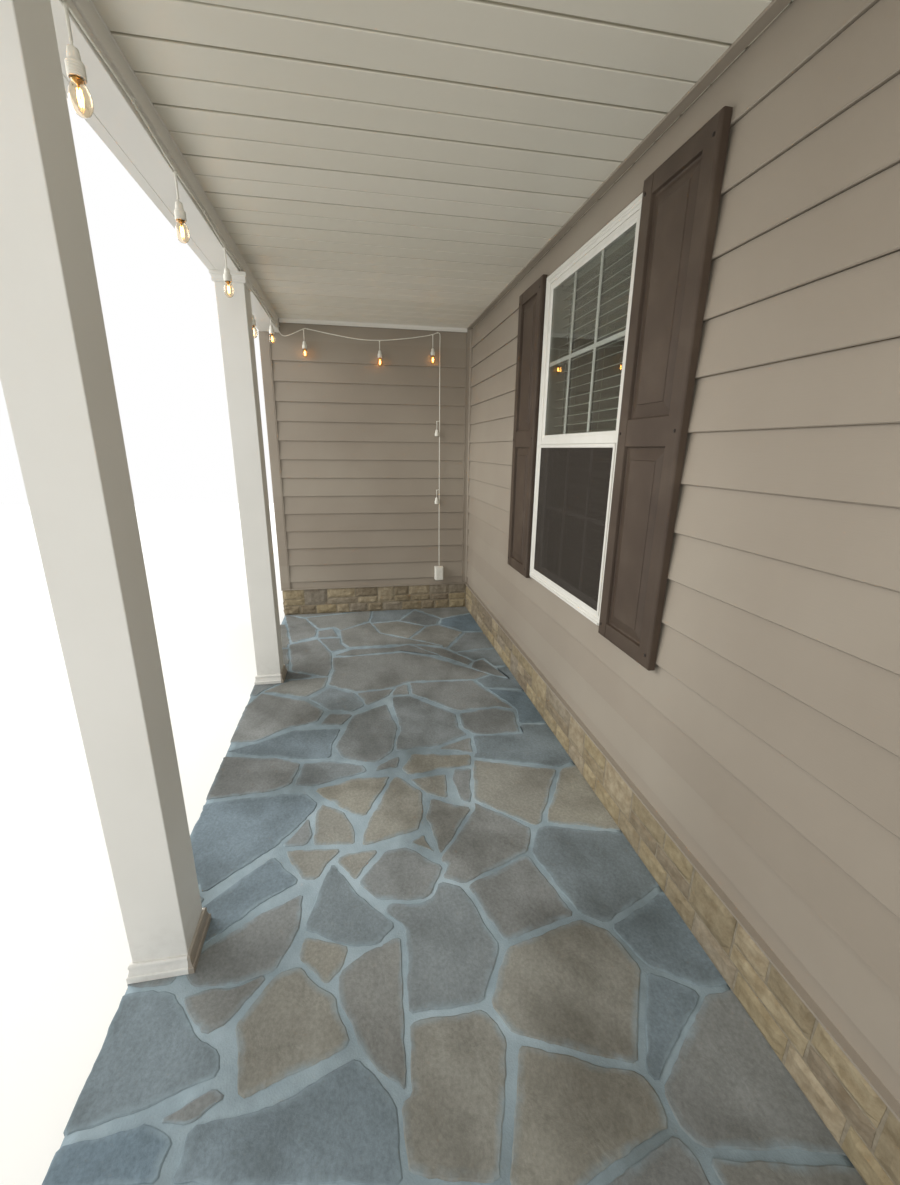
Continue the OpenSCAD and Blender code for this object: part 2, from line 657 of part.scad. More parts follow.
module cord_hooks() color("#e8e6de") place() {
    for (x = beam_hooks) hook([x, lamp_y, hook_z], lamp_y + beam_in, 90);
    for (p = wall_hooks) {
        hook_up = lamp_z + p[1];
        hook([wall_x, p[0], hook_up], wall_x + top_course_in(hook_up + cord_d), 0);
    }
}

module outlet_box() color("#e3e1da") place()
    block([0, run_y - outlet_w / 2, outlet_top - outlet_l], [outlet_d, run_y + outlet_w / 2, outlet_top]);

porch_slab();
flagstone_floor();
house_wall();
end_wall();
room_boards();
house_siding();
end_siding();
upper_siding();
house_stone_base();
end_stone_base();
corner_board();
inside_corner_post();
window_frame();
upper_sash();
lower_sash();
window_glass();
insect_screen();
window_blind();
window_channel();
far_shutter();
near_shutter();
inner_post();
middle_post();
corner_post();
wall_post();
post_bases();
post_caps();
front_beam();
side_beam();
porch_ceiling();
ceiling_trim();
beam_trim();
roof_frame();
roof_deck();
roof_shingles();
eave_soffit();
fascia();
rake_board();
gable_siding();
wall_flashing();
light_cord();
light_sockets();
light_bulbs();
cord_hooks();
outlet_box();
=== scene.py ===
# Front porch: the dressed model. Lengths are metres; sizes along the porch are counted from the end
# wall's face and depths from the house wall's face, as in the part's source, until an object is made.
import math
import random
import bmesh
import bpy
from mathutils import Matrix, Vector, noise


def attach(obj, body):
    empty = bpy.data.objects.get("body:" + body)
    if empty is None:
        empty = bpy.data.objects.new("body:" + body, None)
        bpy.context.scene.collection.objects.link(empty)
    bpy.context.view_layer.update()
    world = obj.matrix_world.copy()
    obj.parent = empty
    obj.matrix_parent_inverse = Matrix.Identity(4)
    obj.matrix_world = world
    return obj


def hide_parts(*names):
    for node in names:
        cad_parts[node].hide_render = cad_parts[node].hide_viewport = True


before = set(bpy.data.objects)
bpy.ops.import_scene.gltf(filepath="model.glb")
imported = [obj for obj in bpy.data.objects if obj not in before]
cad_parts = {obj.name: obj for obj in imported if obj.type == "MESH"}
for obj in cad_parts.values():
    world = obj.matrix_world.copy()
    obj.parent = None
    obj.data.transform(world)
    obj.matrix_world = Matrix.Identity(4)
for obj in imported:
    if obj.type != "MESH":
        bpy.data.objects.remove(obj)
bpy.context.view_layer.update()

# View: from inside the porch at about eye height, looking along it to the end wall and a little down.
# The lens is a phone's wide one; the place and the turn were solved from the wall's courses and posts.
middle = Vector((2.605, -0.8045, 0.0))
eye = Vector((4.495, -1.001, 1.633)) - middle
yaw, pitch, roll = math.radians(10.637), math.radians(-16.240), math.radians(0.637)
ahead = Vector((-math.cos(yaw) * math.cos(pitch), math.sin(yaw) * math.cos(pitch), math.sin(pitch)))
side = Vector((math.sin(yaw), math.cos(yaw), 0.0))
above = side.cross(ahead)
right = side * math.cos(roll) + above * math.sin(roll)
top = above * math.cos(roll) - side * math.sin(roll)
lens = bpy.data.cameras.new("porch_view")
lens.lens = 490.98 / 1185 * 36
lens.sensor_width = 36
lens.clip_start = 0.02
lens.clip_end = 100
camera = bpy.data.objects.new("porch_view", lens)
bpy.context.collection.objects.link(camera)
camera.matrix_world = Matrix(((right.x, top.x, -ahead.x, eye.x), (right.y, top.y, -ahead.y, eye.y),
                              (right.z, top.z, -ahead.z, eye.z), (0, 0, 0, 1)))
bpy.context.scene.camera = camera
bpy.context.scene.view_settings.view_transform = "Standard"

# Studio: a pale level floor, a white surround, and broad soft lamps as under an open sky.
# The large one stands in front of the open side, a smaller one fills the porch from the open end.


def linear(code):
    parts = [int(code[i:i + 2], 16) / 255 for i in (1, 3, 5)]
    return [c / 12.92 if c <= 0.04045 else ((c + 0.055) / 1.055) ** 2.4 for c in parts] + [1.0]


def result(node):
    return next(socket for socket in node.outputs if socket.enabled)


def add(tree, kind, wires=None, stops=(), into=None, **settings):
    made = tree.nodes.new(kind)
    for key, value in settings.items():
        setattr(made, key, value)
    for key, value in (wires or {}).items():
        if isinstance(value, bpy.types.Node):
            value = result(value)
        if isinstance(value, bpy.types.NodeSocket):
            tree.links.new(value, made.inputs[key])
        else:
            made.inputs[key].default_value = linear(value) if str(value)[:1] == "#" else value
    for i, (place, code) in enumerate(stops):
        spot = made.color_ramp.elements[i] if i < 2 else made.color_ramp.elements.new(place)
        spot.position, spot.color = place, linear(code)
    if into:
        tree.links.new(result(made), into)
    return made


def material(name, **sockets):
    made = bpy.data.materials.new(name)
    made.use_nodes = True
    made.node_tree.nodes.clear()
    shader = add(made.node_tree, "ShaderNodeBsdfPrincipled",
                 {name.replace("_", " "): value for name, value in sockets.items()})
    add(made.node_tree, "ShaderNodeOutputMaterial", {"Surface": shader})
    return made, made.node_tree, shader.inputs


def patterned(name, **sockets):
    made, tree, surface = material(name, **sockets)
    return made, tree, surface, add(tree, "ShaderNodeTexCoord").outputs["Object"]


def white_where_seen(tree, plain):
    path = add(tree, "ShaderNodeLightPath")
    seen = add(tree, "ShaderNodeMath", {0: path.outputs["Is Camera Ray"], 1: path.outputs["Is Glossy Ray"]},
               operation="MAXIMUM")
    seen = add(tree, "ShaderNodeMath", {0: seen, 1: path.outputs["Is Transmission Ray"]},
               operation="MAXIMUM")
    return add(tree, "ShaderNodeMix", {0: seen, 2: plain, 3: 1.0})


world = bpy.data.worlds.new("studio")
bpy.context.scene.world = world
world.use_nodes = True
world.node_tree.nodes.clear()
glow = add(world.node_tree, "ShaderNodeBackground",
           {"Color": "#FFFFFF", "Strength": white_where_seen(world.node_tree, 0.55)})
add(world.node_tree, "ShaderNodeOutputWorld", {"Surface": glow})

ground_mesh = bpy.data.meshes.new("studio_floor")
far = 14.0
ground_mesh.from_pydata([(x * far, y * far, -0.002) for x, y in ((-1, -1), (1, -1), (1, 1), (-1, 1))], [],
                        [(0, 1, 2, 3)])
ground = bpy.data.objects.new("studio_floor", ground_mesh)
bpy.context.collection.objects.link(ground)
floor_matt, tree, surface, where = patterned("pale_studio_floor", Base_Color="#ECEBE7", Roughness=0.9,
                                             Emission_Color="#FFFFFF")
reach = add(tree, "ShaderNodeVectorMath", {0: where}, operation="LENGTH")
fade = add(tree, "ShaderNodeMapRange", {0: reach, 1: 3.0, 2: 7.5, 3: 0.12, 4: 1.0})
path = add(tree, "ShaderNodeLightPath")
add(tree, "ShaderNodeMath", {0: path.outputs["Is Camera Ray"], 1: fade}, operation="MULTIPLY",
    into=surface["Emission Strength"])
ground.data.materials.append(floor_matt)


def soft_lamp(name, place, target, size, power, colour):
    lamp = bpy.data.lights.new(name, "AREA")
    lamp.shape = "RECTANGLE"
    lamp.size, lamp.size_y = size
    lamp.energy = power
    lamp.color = linear(colour)[:3]
    made = bpy.data.objects.new(name, lamp)
    bpy.context.collection.objects.link(made)
    made.location = Vector(place) - middle
    made.rotation_euler = (Vector(target) - Vector(place)).to_track_quat("-Z", "Y").to_euler()
    made.visible_camera = False
    made.visible_glossy = False


soft_lamp("open_side", (1.4, -4.8, 2.9), (2.6, -0.4, 0.9), (3.8, 2.4), 200, "#FFFEFB")
soft_lamp("open_end", (7.2, -1.0, 1.9), (2.0, -0.8, 1.2), (1.8, 2.0), 60, "#FFFDF8")

# Slab: poured concrete with a broomed face, cast in a board form; its edge shows under the flagstones.
# Cement grey with fine sand grit and faint darker damp marks. Every shape of the scene is gathered in
# points and faces, here and below; shaped() makes them one mesh and empties them for the next.
points, faces = [], []


def shaped(name, corners, smooth):
    mesh = bpy.data.meshes.new(name)
    mesh.from_pydata(corners, [], faces)
    mesh.polygons.foreach_set("use_smooth", [smooth] * len(faces))
    points.clear()
    faces.clear()
    work = bmesh.new()
    work.from_mesh(mesh)
    bmesh.ops.recalc_face_normals(work, faces=work.faces)
    work.to_mesh(mesh)
    work.free()
    return mesh


def fasten(made, nodes):
    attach(made, "root")
    if nodes:
        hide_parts(*nodes)
    return made


def lay(name, finishes, nodes=(), smooth=False, which=None):
    made = bpy.data.objects.new(name, shaped(name, [Vector(p) - middle for p in points], smooth))
    bpy.context.collection.objects.link(made)
    for finish in finishes:
        made.data.materials.append(finish)
    if which:
        made.data.polygons.foreach_set("material_index", which)
    return fasten(made, nodes)


def mark(made, name, domain, values):
    made.data.attributes.new(name, "FLOAT", domain).data.foreach_set("value", values)


def dress(node, finish):
    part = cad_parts[node]
    part.data.materials.clear()
    part.data.materials.append(finish)


def mottled(name, scale, detail, stops, relief=None, **sockets):
    made, tree, surface, where = patterned(name, **sockets)
    cloud = add(tree, "ShaderNodeTexNoise", {"Vector": where, "Scale": scale, "Detail": detail})
    add(tree, "ShaderNodeValToRGB", {0: cloud}, stops=stops, into=surface["Base Color"])
    if relief:
        fineness, more, strength, depth = relief
        grit = add(tree, "ShaderNodeTexNoise", {"Vector": where, "Scale": fineness, "Detail": more})
        add(tree, "ShaderNodeBump", {"Strength": strength, "Distance": depth, "Height": grit},
            into=surface["Normal"])
    return made


concrete = mottled("broomed_concrete", 3.0, 6.0, [(0.3, "#8E8B82"), (0.7, "#A9A69D")],
                   (260.0, 4.0, 0.5, 0.002), Roughness=0.92)
dress("porch_slab", concrete)

# Flagstones: irregular slabs of split bluestone and sandstone, 20 to 80 cm across, laid in mortar.
# Each row gives a stone's colour from 0, blue grey, to 1, tan, and its corners in millimetres.
stone_rows = [
    (0.55, "240,-1658 700,-1563 598,-1390 432,-1383 137,-1508 -19,-1704"),
    (0.60, "416,-1374 394,-1244 479,-1185 286,-943 -19,-916 103,-1511"),
    (0.50, "628,-1369 627,-1200 422,-1256 463,-1371"),
    (0.60, "762,-1168 871,-1102 873,-625 958,-392 595,-872 318,-944 490,-1195"),
    (0.50, "1236,-1500 1369,-1254 1240,-1229 965,-1241 653,-1368 746,-1576"),
    (0.50, "942,-1243 891,-1130 786,-1177 657,-1184 654,-1358"),
    (0.50, "1036,-1084 1003,-711 1138,-441 893,-646 922,-778 919,-1102 1014,-1223"),
    (0.62, "1615,-1066 1595,-826 1528,-712 1564,-269 1509,-156 "
           "1147,-513 1035,-714 1055,-1229 1318,-1218 1493,-1241"),
    (0.50, "1138,-434 1142,-437 1335,-267 1280,-219 1009,-382 896,-627"),
    (0.50, "1532,-129 1583,-44 1251,-141 1278,-214 1376,-259"),
    (0.70, "1633,-1369 1524,-1261 1371,-1239 1376,-1251 1372,-1259 1382,-1498 1527,-1638"),
    (0.60, "2093,-1577 1988,-1449 1942,-1276 1829,-1243 1678,-1378 1541,-1649 1697,-1711 2075,-1711"),
    (0.35, "1819,-1217 1870,-1080 1797,-1010 1637,-1066 1529,-1231 1667,-1351"),
    (0.50, "2003,-1144 1896,-1080 1863,-1208 1971,-1261"),
    (0.50, "1799,-996 1703,-856 1611,-827 1638,-1059"),
    (0.50, "1785,-636 1958,-462 1941,-227 1984,-136 1579,-288 1545,-714 1694,-714"),
    (0.40, "2286,-754 2285,-630 2212,-462 2134,-498 1982,-488 1828,-641 "
           "1723,-732 1721,-835 1839,-843 2080,-821 2298,-864"),
    (0.50, "2216,-436 2236,-176 2011,-145 1955,-231 1985,-468 2124,-482"),
    (0.50, "2375,-473 2237,-454 2297,-625 2317,-635"),
    (0.42, "2314,-1135 2382,-963 2296,-876 2078,-835 1803,-884 1910,-1080 2205,-1168"),
    (0.20, "2291,-1330 2295,-1188 2181,-1181 2039,-1143 2009,-1397 2098,-1553 2163,-1711"),
    (0.55, "2508,-1411 2477,-1353 2320,-1328 2259,-1458 2201,-1711 2525,-1711"),
    (0.40, "2510,-1256 2440,-1010 2391,-1020 2326,-1180 2322,-1316 2487,-1342"),
    (0.50, "2437,-858 2342,-850 2403,-952 2445,-977"),
    (0.90, "2500,-813 2480,-662 2478,-509 2393,-490 2333,-783 2458,-848"),
    (1.00, "2655,-1146 2718,-1075 2741,-1026 2625,-962 2494,-901 2484,-1066 2537,-1244"),
    (0.80, "2647,-743 2692,-665 2520,-640 2534,-816"),
    (0.50, "2718,-606 2739,-568 2496,-513 2491,-594 2568,-620"),
    (0.86, "2903,-1029 2853,-810 2748,-777 2626,-772 2499,-868 2513,-892 2765,-1008 2889,-1038"),
    (0.66, "2848,-761 2999,-747 2915,-676 2768,-575 2679,-737 2791,-778"),
    (0.15, "3022,-1580 2845,-1363 2683,-1243 2627,-1222 2555,-1283 2534,-1408 2549,-1711 2862,-1711"),
    (0.74, "2869,-1228 2891,-1065 2835,-1065 2713,-1105 2629,-1207 2685,-1228"),
    (0.50, "2864,-1255 2821,-1233 2712,-1258 2855,-1344"),
    (0.80, "2985,-763 2881,-795 2920,-856"),
    (0.78, "2911,-1319 3026,-1248 3029,-1199 2961,-1161 2905,-1119 2874,-1332"),
    (0.76, "3063,-1065 2936,-976 2926,-1101 2955,-1135"),
    (0.45, "3155,-986 3180,-843 3167,-808 3050,-746 2937,-867 2940,-949 3074,-1057"),
    (0.10, "3235,-1545 3201,-1496 3118,-1401 3029,-1262 2897,-1367 3105,-1601"),
    (0.50, "3350,-1528 3363,-1391 3340,-1298 3263,-1256 3205,-1238 3083,-1243 3144,-1378 3275,-1578"),
    (0.30, "3309,-1066 3317,-987 3256,-936 3122,-1054 2968,-1149 3082,-1195 3224,-1231"),
    (0.84, "3412,-1145 3366,-1105 3307,-1081 3277,-1139 3244,-1224 3315,-1233"),
    (0.78, "3636,-1336 3621,-1236 3570,-1076 3442,-1123 3415,-1161 3338,-1231 3350,-1288 3472,-1385"),
    (0.60, "3582,-1057 3648,-1003 3696,-943 3297,-921 3312,-976 "
           "3322,-984 3320,-1005 3331,-1044 3382,-1110 3434,-1113"),
    (0.20, "3618,-1530 3577,-1393 3528,-1405 3477,-1474 3349,-1569 3328,-1711 3640,-1711"),
    (0.50, "3481,-1457 3464,-1401 3350,-1317 3368,-1391 3362,-1462 3371,-1548"),
    (0.50, "3668,-1441 3628,-1363 3600,-1395 3649,-1510"),
    (0.18, "3849,-966 3709,-970 3602,-1057 3662,-1247 3673,-1432 3762,-1449"),
    (0.05, "3757,-1472 3684,-1460 3646,-1527 3654,-1711 3723,-1711"),
    (0.10, "5201,-1500 5044,-1479 4888,-1607 4905,-1711 5201,-1711"),
    (0.19, "4771,-1031 4686,-937 4474,-990 4433,-1050 4459,-1186 4701,-1224"),
    (0.39, "4872,-1607 4666,-1430 4509,-1490 4455,-1711 4888,-1711"),
    (0.42, "4160,-1531 4075,-1458 3775,-1447 3736,-1711 4192,-1711"),
    (0.52, "5025,-1472 4911,-1258 4719,-1247 4676,-1417 4879,-1591"),
    (0.68, "4430,-201 4417,-162 4252,-117 4172,-296 4293,-405"),
    (0.56, "12,-499 304,-289 190,19 -19,19 -19,-503"),
    (0.62, "4969,-997 5027,-918 4919,-690 4906,-685 4735,-794 4700,-924 4789,-1021"),
    (0.39, "5201,-543 5201,-432 4881,-359 4918,-666"),
    (0.51, "4357,-1348 4172,-1283 4086,-1446 4170,-1519"),
    (0.36, "4457,-983 4387,-814 4180,-771 4167,-981 4420,-1037"),
    (0.48, "5201,-1164 5038,-1124 4930,-1250 5047,-1467 5201,-1488"),
    (0.62, "5106,19 4760,19 4793,-297 4865,-334"),
    (0.61, "4154,-288 4234,-109 4190,19 3998,19 3925,-305"),
    (0.13, "3512,-209 3608,-73 3608,19 3285,19 3383,-245"),
    (0.28, "2559,-90 2534,19 2184,19 2161,-152 2250,-165 2229,-440 2393,-462 2388,-475 2416,-482"),
    (0.90, "4489,-1483 4372,-1362 4178,-1537 4209,-1711 4433,-1711"),
    (0.09, "1987,-121 2144,-150 2166,19 1794,19 1710,-225"),
    (0.52, "1711,-727 1577,-727 1565,-749 1601,-810 1708,-843"),
    (0.27, "4682,-920 4717,-791 4491,-668 4405,-805 4474,-971"),
    (0.46, "1087,-320 1048,19 708,19 694,-154 1022,-359"),
    (0.39, "3269,-907 3528,-921 3532,-710 3382,-618 3153,-692 "
           "3117,-767 3177,-799 3194,-841 3174,-951 3202,-967"),
    (0.52, "4443,-1185 4418,-1053 4159,-995 4101,-1035 4178,-1264 4362,-1329"),
    (0.28, "4479,-654 4439,-535 4317,-485 4161,-725 4181,-757 4387,-800"),
    (0.71, "955,-375 989,-394 1002,-371 687,-174 470,-351 497,-455 764,-628"),
    (0.94, "3006,19 2557,19 2583,-89 2906,-287"),
    (0.01, "677,-157 691,19 208,19 321,-287 458,-335"),
    (0.33, "1264,-213 1234,-132 1389,-87 1382,19 1065,19 1103,-311"),
    (0.20, "3785,-337 3616,-96 3535,-212 3756,-353"),
    (0.53, "1115,-1532 825,-1577 835,-1711 1143,-1711"),
    (0.79, "4149,-984 4163,-760 4147,-733 3961,-719 3897,-769 3851,-952 3864,-952 3860,-975 4090,-1025"),
    (0.78, "3624,-651 3741,-365 3519,-223 3387,-260 3339,-339 3390,-602 3543,-696"),
    (0.77, "2914,-341 2905,-308 2576,-107 2437,-486 2718,-550"),
    (0.55, "4656,-1417 4700,-1241 4459,-1202 4378,-1344 4505,-1475"),
    (0.39, "4467,19 4208,19 4249,-97 4417,-144"),
    (0.73, "3836,-953 3882,-769 3632,-668 3549,-713 3545,-921 3704,-930 3716,-957"),
    (0.38, "5201,-901 5201,-562 4933,-688 5040,-913"),
    (0.35, "481,-455 455,-353 315,-304 30,-509 314,-676"),
    (0.52, "3138,-686 3039,-413 2924,-352 2734,-554 2763,-556 2923,-665 3026,-753 3047,-730 3102,-759"),
    (0.26, "4897,-672 4858,-347 4794,-315 4635,-334 4457,-529 4497,-650 4731,-778"),
    (0.47, "4300,-479 4287,-426 4156,-309 3914,-326 3874,-350 3965,-701 4147,-714"),
    (0.32, "338,-925 306,-689 12,-516 -19,-521 -19,-903 297,-936"),
    (0.52, "3372,-603 3322,-347 3054,-415 3149,-675"),
    (0.70, "588,-861 755,-639 490,-468 322,-690 354,-921"),
    (0.39, "5201,-917 5044,-928 4987,-1006 5041,-1106 5201,-1145"),
    (0.60, "802,-1581 739,-1590 730,-1571 265,-1667 246,-1711 812,-1711"),
    (0.70, "5028,-1116 4973,-1016 4788,-1041 4720,-1231 4919,-1242"),
    (0.35, "4158,-1276 4081,-1046 3856,-998 3779,-1428 4072,-1438"),
    (0.49, "96,-1539 21,-1173 -19,-1177 -19,-1636 11,-1646"),
    (0.43, "3333,-1587 3309,-1572 3272,-1596 3244,-1555 3102,-1616 "
           "3055,-1569 2918,-1682 2929,-1711 3315,-1711"),
    (0.87, "3949,-702 3859,-354 3801,-348 3760,-371 3646,-649 3890,-747"),
    (0.40, "5201,19 5128,19 4882,-341 5201,-413"),
    (0.53, "3906,-310 3980,19 3621,19 3620,-80 3797,-332 3861,-338"),
    (0.22, "3324,-329 3368,-257 3265,19 3021,19 2919,-292 2931,-336 3049,-399"),
    (0.32, "1686,-234 1773,19 1401,19 1407,-82 1588,-29 1599,-43 1523,-154 1581,-274"),
    (0.62, "4777,-294 4745,19 4487,19 4432,-159 4448,-205 4632,-312"),
    (0.45, "1571,-1675 1523,-1656 1370,-1504 1363,-1359 1331,-1352 "
           "1244,-1512 1130,-1530 1158,-1711 1564,-1711"),
    (0.65, "4625,-324 4443,-218 4309,-419 4320,-467 4447,-518")
]
floor_top, floor_foot = 0.150, 0.110
floor_left, floor_right, floor_front, floor_back = -0.0195, 5.2015, -1.7115, 0.0195


def bumpy(u, v, seed, fine_u, fine_v):
    return noise.noise(Vector((u * fine_u, v * fine_v, seed)))


def worn_edge(poly, step, seed):
    loop = []
    for before, a, b in zip(poly[-1:] + poly[:-1], poly, poly[1:] + poly[:1]):
        long = (b - a).length
        eased = min(0.010, long * 0.25, (a - before).length * 0.25)
        parts = max(1, int((long - eased * 2) / step))
        for k in range(parts + 1):
            p = a + (b - a) * ((eased + (long - eased * 2) * k / parts) / long)
            sway = bumpy(p.x, p.y, seed, 12, 12) * 0.007 + bumpy(p.x, p.y, seed, 45, 45) * 0.004
            q = p + Vector((b.y - a.y, a.x - b.x)) * (sway / long)
            loop.append(Vector((min(max(q.x, floor_left), floor_right),
                                min(max(q.y, floor_front), floor_back))))
    return loop


def shell(first, count, rings, looped=False):
    for ring in range(rings if looped else rings - 1):
        low, high = first + ring * count, first + (ring + 1) % rings * count
        faces.extend((low + k, low + (k + 1) % count, high + (k + 1) % count, high + k) for k in range(count))
    if not looped:
        faces.append(tuple(reversed(range(first, first + count))))
        faces.append(tuple(range(first + (rings - 1) * count, first + rings * count)))


def net(first, across, up, behind):
    faces.extend((a, a + 1, a + across + 1, a + across) for j in range(up - 1)
                 for a in range(first + j * across, first + j * across + across - 1))
    rim = list(range(across)) + [j * across + across - 1 for j in range(1, up)]
    rim += [(up - 1) * across + i for i in range(across - 2, -1, -1)]
    rim += [j * across for j in range(up - 2, 0, -1)]
    back = len(points)
    points.extend(behind[k] for k in rim)
    for k in range(len(rim)):
        n = (k + 1) % len(rim)
        faces.append((back + k, back + n, first + rim[n], first + rim[k]))
    faces.append(tuple(back + k for k in reversed(range(len(rim)))))


kinds, smears = [], []
chance = random.Random(11)
for index, (colour, corners) in enumerate(stone_rows):
    poly = [Vector([int(v) / 1000 for v in pair.split(",")]) for pair in corners.split()]
    loop = worn_edge(poly, 0.016, index * 3.1)
    heart = sum(loop, Vector((0, 0))) / len(loop)
    lift = floor_top - chance.uniform(0.0, 0.0010)
    first = len(points)
    for inward, z in ((0.0, floor_foot + 0.004), (0.0, lift - 0.005), (0.0015, lift - 0.0015), (0.005, lift),
                      (0.024, lift)):
        for p in loop:
            q = p + (heart - p).normalized() * min(inward, (heart - p).length * 0.3)
            points.append((q.x, q.y, z))
            smears.append(0.0 if inward > 0.02 else 1.0)
    shell(first, len(loop), 5)
    kinds += [min(max(colour + chance.uniform(-0.06, 0.06), 0.0), 1.0)] * (4 * len(loop) + 2)


def trodden_dirt(tree, surface, where, clean):
    patches = add(tree, "ShaderNodeTexNoise",
                  {"Vector": where, "Scale": 1.9, "Detail": 6.0, "Roughness": 0.6})
    earth = add(tree, "ShaderNodeValToRGB", {0: patches}, stops=[(0.34, "#BAB8B3"), (0.58, "#FFFFFF")])
    add(tree, "ShaderNodeMix", {0: 0.85, 6: clean, 7: earth}, data_type="RGBA", blend_type="MULTIPLY",
        into=surface["Base Color"])


flagstone, tree, surface, where = patterned("split_flagstone", Roughness=0.72, Specular_IOR_Level=0.35)
kind = add(tree, "ShaderNodeAttribute", attribute_name="kind")
# The stones' colours lean bluer than their own: part of the blue is painted sky light from the shaded porch.
body = add(tree, "ShaderNodeValToRGB", {0: kind.outputs["Fac"]}, stops=[
    (0.0, "#8498A6"), (0.25, "#8D9AA1"), (0.5, "#999D9D"), (0.75, "#A3A39C"), (1.0, "#ACAA9F")])
cloud = add(tree, "ShaderNodeTexNoise", {"Vector": where, "Scale": 4.0, "Detail": 8.0, "Roughness": 0.62})
shade = add(tree, "ShaderNodeValToRGB", {0: cloud}, stops=[
    (0.3, "#C8C6C4"), (0.52, "#EAEAE9"), (0.72, "#FFFFFF")])
fleck = add(tree, "ShaderNodeTexNoise", {"Vector": where, "Scale": 95.0, "Detail": 5.0, "Roughness": 0.7})
speck = add(tree, "ShaderNodeValToRGB", {0: fleck}, stops=[(0.35, "#D6D6D6"), (0.65, "#FFFFFF")])
soiled = add(tree, "ShaderNodeMix", {0: 0.8, 6: body, 7: shade}, data_type="RGBA", blend_type="MULTIPLY")
toned = add(tree, "ShaderNodeMix", {0: 0.75, 6: soiled, 7: speck}, data_type="RGBA", blend_type="MULTIPLY")
smear = add(tree, "ShaderNodeAttribute", attribute_name="smear")
wisp = add(tree, "ShaderNodeTexNoise", {"Vector": where, "Scale": 14.0, "Detail": 7.0, "Roughness": 0.6})
wisp = add(tree, "ShaderNodeMapRange", {0: wisp, 1: 0.40, 2: 0.66, 3: 0.1, 4: 0.85})
haze = add(tree, "ShaderNodeMath", {0: smear.outputs["Fac"], 1: wisp}, operation="MULTIPLY")
# The haze of smeared mortar is bluish grey, part of its blue being painted sky light.
hazed = add(tree, "ShaderNodeMix", {0: haze, 6: toned, 7: "#93A5AE"}, data_type="RGBA")
trodden_dirt(tree, surface, where, hazed)
cleft = add(tree, "ShaderNodeTexNoise",
            {"Vector": where, "Scale": 9.0, "Detail": 9.0, "Roughness": 0.62, "Distortion": 0.4})
add(tree, "ShaderNodeBump", {"Strength": 0.55, "Distance": 0.014, "Height": cleft}, into=surface["Normal"])
flags = lay("flagstones", [flagstone], ["flagstone_floor"])
mark(flags, "kind", "FACE", kinds)
mark(flags, "smear", "POINT", smears)

# Mortar: a cement bed trowelled almost flush with the stones' faces, smeared over their rims in places.
# Pale bluish grey where it is clean, nearly as dark as the stones where dirt has washed in; part of its blue
# is painted sky light.
columns, rows = 150, 50
bed_left, bed_long, bed_front, bed_deep, joint_deep = -0.012, 5.206, -1.704, 1.716, 0.0030
for j in range(rows + 1):
    for i in range(columns + 1):
        x = bed_left + bed_long * i / columns
        y = bed_front + bed_deep * j / rows
        ripple = 0.0010 * bumpy(x, y, 0, 9, 9) + 0.0006 * bumpy(x, y, 2, 40, 40)
        points.append((x, y, floor_top - joint_deep + ripple))
net(0, columns + 1, rows + 1, [(x, y, floor_foot) for x, y, z in points])
mortar, tree, surface, where = patterned("trowelled_mortar", Roughness=0.95)
stain = add(tree, "ShaderNodeTexNoise", {"Vector": where, "Scale": 3.2, "Detail": 8.0, "Roughness": 0.6})
# Part of this blue grey is painted sky light from the shaded porch.
tint = add(tree, "ShaderNodeValToRGB", {0: stain}, stops=[
    (0.30, "#7F8C91"), (0.48, "#92A3AC"), (0.68, "#ACBDC6")])
trodden_dirt(tree, surface, where, tint)
sand = add(tree, "ShaderNodeTexNoise", {"Vector": where, "Scale": 220.0, "Detail": 3.0})
add(tree, "ShaderNodeBump", {"Strength": 0.6, "Distance": 0.002, "Height": sand}, into=surface["Normal"])
lay("mortar_bed", [mortar], ["flagstone_floor"], smooth=True)

# Framed walls: softwood studs and plates inside, closed with plain board on the room side.
# Only the cut ends, the tops and the room faces show: raw timber with fine grain, and matt board.
timber, tree, surface, where = patterned("planed_softwood", Roughness=0.7)
along = add(tree, "ShaderNodeMapping", {"Vector": where, "Scale": (30.0, 30.0, 1.5)})
grain = add(tree, "ShaderNodeTexNoise", {"Vector": along, "Scale": 2.5, "Detail": 8.0, "Distortion": 0.6})
add(tree, "ShaderNodeValToRGB", {0: grain}, stops=[(0.3, "#A98455"), (0.55, "#C7A372"), (0.75, "#D6B98B")],
    into=surface["Base Color"])
add(tree, "ShaderNodeBump", {"Strength": 0.3, "Distance": 0.001, "Height": grain}, into=surface["Normal"])
for node in ("house_wall", "end_wall", "roof_frame"):
    dress(node, timber)

wall_board = mottled("plain_wall_board", 70.0, 3.0, [(0.3, "#D6D2C8"), (0.7, "#DEDAD1")],
                     (70.0, 3.0, 0.25, 0.0008), Roughness=0.88)
dress("room_boards", wall_board)

# Lap siding: long moulded boards with 154 mm to the weather, each course hooked over the one below.
# Taupe with a low sheen and a faint wood grain; the butt edge is rounded and throws a thin shadow.
course, butt, thin = 0.154, 0.020, 0.008
ceiling = 2.614
lap_line = ceiling - course
base_top = 0.396
window = (1.783, 2.685, 0.915, 2.477)
channel_wide = 0.012
opening = tuple(edge + channel_wide * side for edge, side in zip(window, (-1, 1, -1, 1)))
first_board, post_near, post_far, house_end = 0.0215, 5.033, 5.1825, 5.383
end_board = (-1.637, -0.042)
laps = [lap_line]
while laps[-1] > base_top:
    laps.append(laps[-1] - course)


def face_out(z, low, tall):
    return thin + (butt - thin) * (low + tall - z) / tall


def sweep(outline, start, end):
    shell(len(points), len(outline(start)), 2)
    points.extend(outline(start) + outline(end))


def along_x(profile, start, end):
    sweep(lambda x: [(x, y, z) for y, z in profile], start, end)


def along_y(profile, start, end):
    sweep(lambda y: [(x, y, z) for x, z in profile], start, end)


def upright(profile, foot, head):
    sweep(lambda z: [(x, y, z) for x, y in profile], foot, head)


